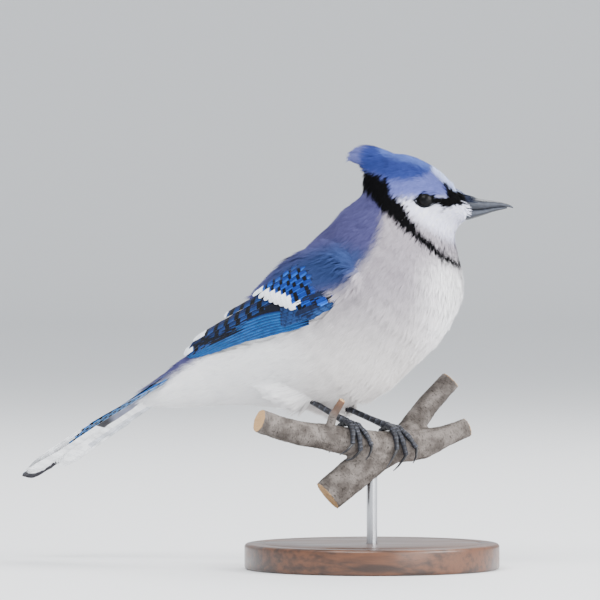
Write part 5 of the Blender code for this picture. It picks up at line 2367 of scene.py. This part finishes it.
@dataclass(frozen=True)
class Bristles:
    """The stiff dark bristles that lie forward over the nostrils, on both sides of the bill."""

    bill: Bill
    count: int = 40
    start: tuple[float, float] = (38.4, 41.6)
    length: tuple[float, float] = (5.5, 9.5)
    turns: tuple[float, float] = (14.0, 84.0)
    lift: float = 0.5
    radius: float = 0.22
    dark: Colour = tone(14, 18, 30)
    pale: Colour = tone(58, 66, 92)
    rows: int = 9

    def build(self) -> None:
        """Lays the bristles over the upper half of the bill."""
        random = np.random.default_rng(11)
        shells = ShellMaker()
        part = np.linspace(0, 1, self.rows)
        table = np.array(self.bill.upper)
        for side in Side:
            for turn in np.linspace(*self.turns, self.count):
                angle = math.radians(turn + random.normal(0, 2.5))
                begin = random.uniform(*self.start)
                x = begin + part * random.uniform(*self.length)
                middle, high, wide = (np.interp(x, table[:, 0], table[:, k]) for k in (1, 2, 3))
                lift = self.lift * (0.5 + 1.6 * part * (1 - part)) + random.uniform(0, 0.25)
                fan = angle + math.radians(random.normal(0, 5)) * part
                y = self.bill.middle_y + side.value * (wide * np.sin(fan) ** 1.12 + lift * np.sin(fan))
                z = middle + high * np.cos(fan) + lift * np.cos(fan)
                points = np.stack([x, y, z], 1)
                radii = self.radius * np.sqrt(np.clip(1 - part, 0.01, 1))
                shells.add(tube_rings(points, radii, 5))
        look = LidFinish("bristles", roughness=0.7, specular=0.1, dark=self.dark, pale=self.pale)
        name = "nasal_bristles"
        settled(placed(name, shells.mesh(name), look.made()))


# Legs and feet
@dataclass(frozen=True)
class Toe:
    """A toe laid over the perch: where it starts and ends along it, and round it in degrees."""

    name: str
    start: tuple[float, float]
    end: tuple[float, float]
    claw_end: tuple[float, float]


@dataclass
class Perch:
    """The forked branch: its lines, its bark and its cut ends."""

    # Middle x and z, radius.
    line: Path = (
        (-53.0, 70.6, 5.8), (-42.0, 66.6, 5.8), (-32.0, 64.0, 6.0), (-22.0, 62.4, 6.4),
        (-11.0, 60.0, 7.0), (2.0, 57.8, 7.3), (13.0, 57.3, 7.8), (24.0, 58.6, 7.6),
        (34.0, 61.6, 5.4), (45.0, 65.8, 4.8),
    )
    depth_slope: float = 0.45
    depth_start: float = -1.8
    # x, y and z, radius.
    stubs: tuple[Path, ...] = (
        ((12.5, 8.0, 58.0, 6.0), (19.8, 13.5, 67.6, 5.9), (27.6, 17.5, 77.6, 5.5), (37.5, 20.5, 88.2, 5.1)),
        ((12.0, 4.0, 57.0, 6.8), (2.0, 0.0, 53.0, 8.2), (-9.0, -4.0, 44.5, 8.4), (-21.0, -7.0, 34.5, 8.0)),
        ((-20.5, -14.0, 64.5, 2.6), (-18.5, -17.0, 72.5, 2.1), (-14.0, -19.5, 80.0, 1.8)),
    )
    reach: float = 14.0
    cell: float = 0.62
    surface: BVHTree = field(init=False)

    def __post_init__(self) -> None:
        """Keeps the node's surface, which the feet lie on."""
        tool = node_copy(("perch",))
        bmesh.ops.scale(tool, vec=(1 / MM,) * 3, verts=tool.verts)
        self.surface = BVHTree.FromBMesh(tool)
        tool.free()

    def main_line(self, places: Rows) -> Rows:
        """The main branch's points and radii."""
        rows = run_through(self.line, places)
        depth = self.depth_slope * rows[:, 0] + self.depth_start
        return np.column_stack([rows[:, 0], depth, rows[:, 1], rows[:, 2]])

    def over(self, x: float, degrees: float, lift: float) -> tuple[Rows, Rows]:
        """A point over the bark.

        Args:
            x: Where, along the main branch.
            degrees: The angle round it, from its top to the viewer's side.
            lift: The height over the bark.

        Returns:
            The point, and the way out.
        """
        places = np.linspace(0, len(self.line) - 1, 900)
        rows = self.main_line(places)
        index = min(int(np.searchsorted(rows[:, 0], x)), len(rows) - 3)
        centre, ahead = rows[index, :3], unit(rows[index + 2, :3] - rows[index, :3])
        front = unit(np.cross(ahead, (0.0, 0.0, 1.0)))
        up = unit(np.cross(front, ahead))
        angle = math.radians(degrees)
        out = up * math.cos(angle) + front * math.sin(angle)
        found = self.surface.ray_cast(Vector(centre + out * self.reach), Vector(-out))[0]
        return np.array(found) + out * lift, out

    def build(self) -> None:
        """Makes the bark's relief and paints what its finish reads."""
        mesh = evened(node_copy(("perch",)), "perch", self.cell)
        edges = mesh_edges(mesh)
        move_vertices(mesh, relaxed(vertex_points(mesh), edges, 3, (0.5, -0.51)))
        points, normals = vertex_points(mesh), vertex_normals(mesh)
        samples = self.samples()
        tree = KDTree(len(samples))
        for index, row in enumerate(samples):
            tree.insert(row[:3], index)
        tree.balance()
        nearest = samples[[tree.find(p)[1] for p in points]]
        offset = points - nearest[:, :3]
        tops = unit(np.cross(nearest[:, 4:7], (0.3, 0.2, 1.0)))
        sides = np.cross(nearest[:, 4:7], tops)
        turn = np.arctan2((offset * sides).sum(1), (offset * tops).sum(1))
        ahead = nearest[:, 4:7]
        radial = np.linalg.norm(offset - ahead * (offset * ahead).sum(1, keepdims=True), axis=1)
        cut = nearest[:, 9] * (np.abs((normals * nearest[:, 4:7]).sum(1)) > 0.75)
        columns = zip(points, nearest[:, 7], turn, nearest[:, 3])
        relief = np.array([self.relief(p, a, t * r) for p, a, t, r in columns])
        relief = relief * (1 - cut) * np.where(nearest[:, 8] == 3, 0.3, 1.0)
        move_vertices(mesh, points - normals * relief[:, None])
        write_field(mesh, "along", nearest[:, 7])
        write_field(mesh, "around", turn * nearest[:, 3])
        write_field(mesh, "ring", radial)
        write_field(mesh, "cut", cut)
        rusty = np.where(nearest[:, 8] == 3, np.interp(nearest[:, 7], (9.0, 16.0), (0.0, 0.75)), 0)
        write_field(mesh, "rusty", relaxed(rusty[:, None], edges, 4)[:, 0])
        mesh.shade_smooth()
        finish = BarkFinish("bark", roughness=0.88, specular=0.2).made()
        settled(placed("perch_bark", mesh, finish), ("perch",))

    def samples(self) -> Rows:
        """Rows of point, radius, direction, run, line number and nearness to a cut end."""
        lines = [self.main_line(np.linspace(0, len(self.line) - 1, 500))]
        lines += [run_through(stub, np.linspace(0, len(stub) - 1, 160)) for stub in self.stubs]
        found = []
        for number, rows in enumerate(lines):
            ahead = directions(rows[:, :3])
            run = np.r_[0, np.cumsum(np.linalg.norm(np.diff(rows[:, :3], axis=0), axis=1))]
            to_end = run[-1] - run if number else np.minimum(run, run[-1] - run)
            near = (to_end < 1.0).astype(float)
            found.append(np.column_stack([rows, ahead, run, np.full(len(rows), number), near]))
        return np.concatenate(found)

    @staticmethod
    def relief(point: Rows, along: float, around: float) -> float:
        """How deep the bark is worn at a point, in millimetres."""
        broad = noise.noise(Vector(point) / 5.0)
        cross = noise.noise(Vector((along / 1.1, around / 3.2, 4.0)))
        fine = noise.noise(Vector(point) / 1.3)
        return 0.22 + 0.22 * broad + 0.18 * abs(cross) + 0.14 * fine


@dataclass
class Feet:
    """The bare legs: shanks, toes and claws, with rows of scales."""

    perch: Perch
    gap: float = 0.3
    toe_radius: float = 1.45
    claw_radius: float = 0.85
    claw_tip: float = 0.2
    claw_gap: float = 0.5
    shank_length: float = 35.0
    shank_radius: float = 1.5
    joint_angle: float = -10.0
    joint_lift: float = 2.1
    scale_pitch: float = 1.7
    toes: tuple[Toe, ...] = (
        Toe("first", (-0.4, -8.0), (0.6, 96.0), (-3.4, 140.0)),
        Toe("second", (0.2, -8.0), (4.8, 112.0), (1.0, 158.0)),
        Toe("third", (0.8, -9.0), (9.4, 92.0), (8.4, 138.0)),
        Toe("hind", (0.0, -12.0), (-2.2, -92.0), (-3.0, -134.0)),
    )
    # Each foot's x and the way up to its ankle.
    legs: tuple = ((Side.RIGHT, -13.2, (-18.4, 9.0, 10.6)), (Side.LEFT, 7.4, (-19.3, 9.4, 8.2)))

    def build(self) -> None:
        """Makes both legs."""
        skin = ScuteFinish("leg_scales", roughness=0.5, specular=0.4).made()
        horn = ClawFinish("claw_horn", roughness=0.3, specular=0.5, coat=0.2).made()
        for side, foot_x, rise in self.legs:
            joint, out = self.perch.over(foot_x, self.joint_angle, self.joint_lift + self.gap)
            shells = ShellMaker()
            shells.add(*self.ball(joint, self.joint_lift))
            shells.painted["scale"] = [np.full(shells.count, 0.5)]
            for toe in self.toes:
                points, tops, radii = self.toe_line(toe, foot_x)
                self.scaled(shells, points, radii, tops, self.scale_pitch)
                self.claw(toe, foot_x, points, side, horn)
            name = f"foot_{side.word}"
            settled(placed(f"{name}_scales", shells.mesh(name), skin), (name,))
            self.shank(side, joint, rise, out, skin)

    @staticmethod
    def ball(centre: Rows, radius: float) -> tuple[Rows]:
        """Rings of a ball round a point."""
        leans = np.radians(np.linspace(4, 176, 16))
        profile = tuple((radius * math.sin(a), radius * math.cos(a)) for a in leans)
        return (turned_rings(profile, 24) + centre,)

    def thickness(self, part: Rows) -> Rows:
        """A toe's radius: thickest at its root, swelling at each pad."""
        return self.toe_radius * (1.12 - 0.34 * part + 0.07 * np.cos(part * 6 * math.pi))

    def toe_line(self, toe: Toe, foot_x: float) -> tuple[Rows, Rows, Rows]:
        """A toe's points, the way out at each and its radii.

        Args:
            toe: The toe.
            foot_x: Where the foot is.

        Returns:
            Points, ways out and radii.
        """
        points, tops = [], []
        parts = np.linspace(0, 1, 10)
        for part, radius in zip(parts, self.thickness(parts)):
            along = toe.start[0] + (toe.end[0] - toe.start[0]) * part
            degrees = toe.start[1] + (toe.end[1] - toe.start[1]) * part
            point, out = self.perch.over(foot_x + along, degrees, radius + self.gap)
            points.append(point)
            tops.append(out)
        fine = np.linspace(0, 9, 64)
        line, upper = (run_through(tuple(v), fine) for v in (points, tops))
        return line, unit(upper), self.thickness(fine / 9)

    def scaled(
        self, shells: ShellMaker, points: Rows, radii: Rows, tops: Rows, pitch: float, steps: int = 20
    ) -> None:
        """Adds a tube with overlapping scales on its top.

        Args:
            shells: What it is added to.
            points: Its line.
            radii: Its radii.
            tops: The way that its scales look.
            pitch: The length of a scale.
            steps: How many points each ring has.
        """
        run = np.r_[0, np.cumsum(np.linalg.norm(np.diff(points, axis=0), axis=1))]
        saw = (run / pitch) % 1.0
        angles = 2 * math.pi * np.arange(steps) / steps
        top = np.clip(np.cos(angles), -0.2, 1)[None]
        pads = 0.06 * np.sin(run / pitch * math.pi * 1.3)[:, None] * np.clip(-np.cos(angles), 0, 1)[None]
        swell = 1 + (0.11 * (saw[:, None] - 0.45)) * np.clip(top + 0.25, 0, 1) + pads
        rings = tube_rings(points, radii[:, None] * swell * 0.98, steps, tops)
        scale = saw[:, None] * np.clip(top + 0.35, 0, 1) + 0.3 * (1 - np.clip(top + 0.35, 0, 1))
        shells.add(rings, scale=scale)

    def claw(self, toe: Toe, foot_x: float, toe_points: Rows, side: Side, horn: Material) -> None:
        """Makes one claw, from just past its toe's end to its point.

        Args:
            toe: The toe.
            foot_x: Where the foot is.
            toe_points: The toe's line.
            side: Which foot.
            horn: The claw's material.
        """
        end_radius = float(self.thickness(np.array(1.0)))
        start = toe_points[-1] + unit(toe_points[-1] - toe_points[-4]) * (self.claw_gap - 0.35)
        parts = np.linspace(0, 1, 7)
        points, tops = [], []
        for part in parts:
            along = toe.end[0] + (toe.claw_end[0] - toe.end[0]) * part
            degrees = toe.end[1] + (toe.claw_end[1] - toe.end[1]) * part
            lift = end_radius + self.gap + 0.9 * math.sin(part * math.pi) + 1.2 * part**2
            point, out = self.perch.over(foot_x + along, degrees, lift)
            points.append(point)
            tops.append(out)
        points = np.array(points)
        points = points + (start - points[0]) * ((1 - parts) ** 2)[:, None]
        fine = np.linspace(0, 6, 26)
        line, out = run_through(tuple(points), fine), unit(run_through(tuple(tops), fine))
        part = fine / 6
        radii = self.claw_radius * 1.08 + (self.claw_tip - self.claw_radius * 1.08) * part**1.3
        angles = 2 * math.pi * np.arange(14) / 14
        flat = 1 - 0.24 * np.abs(np.sin(angles))[None] * np.ones((26, 1))
        shells = ShellMaker()
        shells.add(tube_rings(line, radii[:, None] * flat, 14, out), along=part[:, None])
        name = f"claw_{side.word}_{toe.name}"
        settled(placed(f"{name}_horn", shells.mesh(name), horn), (name,))

    def shank(self, side: Side, joint: Rows, rise: tuple, out: Rows, skin: Material) -> None:
        """Makes one shank with its plates.

        Args:
            side: Which leg.
            joint: The foot's joint.
            rise: The way up to the ankle.
            out: The way out of the perch at the joint. It is not used.
            skin: The material.
        """
        way = unit(np.array(rise))
        part = np.linspace(0.0, 1.0, 120)
        points = joint + way * self.shank_length * part[:, None]
        radii = self.shank_radius * (0.94 + 0.45 * np.abs(2 * part - 1) ** 3)
        front = unit(np.cross(np.cross(way, (0.0, -1.0, 0.25)), way))
        shells = ShellMaker()
        self.scaled(shells, points, radii, np.broadcast_to(front, points.shape), 3.1, 28)
        name = f"shank_{side.word}"
        settled(placed(f"{name}_scales", shells.mesh(name), skin), (name,))


@dataclass(frozen=True)
class Stand:
    """The round wooden base and the steel rod."""

    radius: float = 60.0
    height: float = 12.0
    rim: float = 1.6
    rod_radius: float = 2.5
    rod_foot: float = 4.5
    rod_top: float = 57.0
    gap: float = 0.3

    def build(self) -> None:
        """Makes the base and the rod."""
        hole = self.rod_radius + self.gap
        arc = [math.radians(a) for a in range(0, 91, 15)]
        low = [(self.radius - self.rim * (1 - math.sin(a)), self.rim * (1 - math.cos(a))) for a in arc]
        high = [(r, self.height - z) for r, z in reversed(low)]
        sunk = self.height - 0.35
        groove = [(52.2, self.height), (51.7, sunk), (51.2, sunk), (50.7, self.height)]
        profile = [(2.0, 0.0), (30.0, 0.0), *low, *high, *groove, (30.0, self.height)]
        profile += [(hole + 0.4, self.height), (hole, self.height - 0.4), (hole, self.rod_foot - self.gap)]
        base = ShellMaker()
        base.add(turned_rings(tuple(profile), 160))
        wood = WoodFinish("base_wood", roughness=0.34, specular=0.5, coat=0.25, coat_roughness=0.15).made()
        mesh = base.mesh("stand_base")
        mesh.set_sharp_from_angle(angle=math.radians(40))
        settled(placed("stand_base_wood", mesh, wood), ("stand_base",))
        rod = ShellMaker()
        edge = ((2.2, self.rod_foot), (self.rod_radius, self.rod_foot + 0.3))
        top = ((self.rod_radius, self.rod_top - 0.3), (2.2, self.rod_top))
        rod.add(turned_rings((*edge, *top), 64))
        steel = SteelFinish("rod_steel", roughness=0.28, metallic=1.0).made()
        mesh = rod.mesh("stand_rod")
        mesh.set_sharp_from_angle(angle=math.radians(35))
        settled(placed("stand_rod_steel", mesh, steel), ("stand_rod",))


# The room
@dataclass(frozen=True)
class Studio:
    """A pale floor that curves up into a wall, soft lights and the camera."""

    pixel: float = 0.47
    image: int = 600
    away: float = 3.0
    tip: float = 1.0
    target: tuple[float, float] = (-0.03384, 0.126385)
    sensor: float = 36.0

    def build(self) -> None:
        """Makes the room, the lights and the camera."""
        self.room()
        self.light("key", (-0.6, -1.3, 1.9), 1.3, 58.0)
        self.light("fill", (1.7, -0.7, 1.0), 1.3, 66.0)
        self.light("back", (0.2, 1.1, 1.6), 1.0, 26.0)
        self.light("low", (0.8, -1.1, 0.35), 0.7, 9.0)
        world = bpy.data.worlds.new("soft_light")
        world.use_nodes = True
        background = world.node_tree.nodes["Background"]
        background.inputs["Color"].default_value = (0.93, 0.96, 1.0, 1.0)
        background.inputs["Strength"].default_value = 1.05
        bpy.context.scene.world = world
        self.camera()

    def room(self) -> None:
        """Makes the floor and wall as one curved sheet."""
        arc = [math.radians(a) for a in range(0, 91, 9)]
        profile = [(-8.0, 0.0), (5.6, 0.0)]
        profile += [(5.6 + 0.9 * math.sin(a), 0.9 * (1 - math.cos(a))) for a in arc]
        profile += [(6.5, 6.0)]
        half = 8.0
        points = [(x, y, z) for y, z in profile for x in (-half, half)]
        faces = [(2 * k, 2 * k + 1, 2 * k + 3, 2 * k + 2) for k in range(len(profile) - 1)]
        mesh = mesh_of("room", np.array(points) / MM, faces)
        room = placed("room", mesh, RoomFinish("pale_room", roughness=0.9, specular=0.2).made())

    @staticmethod
    def light(name: str, place: tuple[float, float, float], size: float, power: float) -> None:
        """Adds a soft square light that looks at the bird.

        Args:
            name: Its name.
            place: Where it is, in metres.
            size: Its side, in metres.
            power: Its power, in watts.
        """
        lamp = bpy.data.lights.new(name, "AREA")
        lamp.size, lamp.energy = size, power
        obj = bpy.data.objects.new(name, lamp)
        obj.location = place
        obj.rotation_euler = (Vector((-0.03, 0.0, 0.12)) - Vector(place)).to_track_quat("-Z", "Y").to_euler()
        bpy.context.scene.collection.objects.link(obj)

    def camera(self) -> None:
        """Adds the camera, level with the bird and far from it."""
        lean = math.radians(self.tip)
        lens = bpy.data.cameras.new("camera")
        lens.sensor_width = self.sensor
        lens.lens = self.sensor * self.away / (self.image * self.pixel * MM)
        lens.clip_start, lens.clip_end = 0.1, 50.0
        obj = bpy.data.objects.new("camera", lens)
        x, z = self.target
        obj.location = (x, -self.away * math.cos(lean), z + self.away * math.sin(lean))
        obj.rotation_euler = (math.radians(90 - self.tip), 0.0, 0.0)
        bpy.context.scene.collection.objects.link(obj)
        bpy.context.scene.camera = obj


def main() -> None:
    """Builds and dresses every part of the model in turn."""
    logging.basicConfig(level=logging.INFO, format="%(relativeCreated)6d %(message)s", stream=sys.stdout)
    Studio().build()
    guide = Guide(BodyForm())
    skin = Skin(guide, Plumage(guide))
    skin.build()
    LOG.info("skin: %d faces", len(skin.obj.data.polygons))
    Coat(skin).build()
    skin.finished()
    Eyes().build()
    bill = Bill()
    bill.build()
    Bristles(bill).build()
    Wings(guide.form).build()
    Tail(guide.form).build()
    perch = Perch()
    perch.build()
    Feet(perch).build()
    Stand().build()


if __name__ == "__main__":
    main()
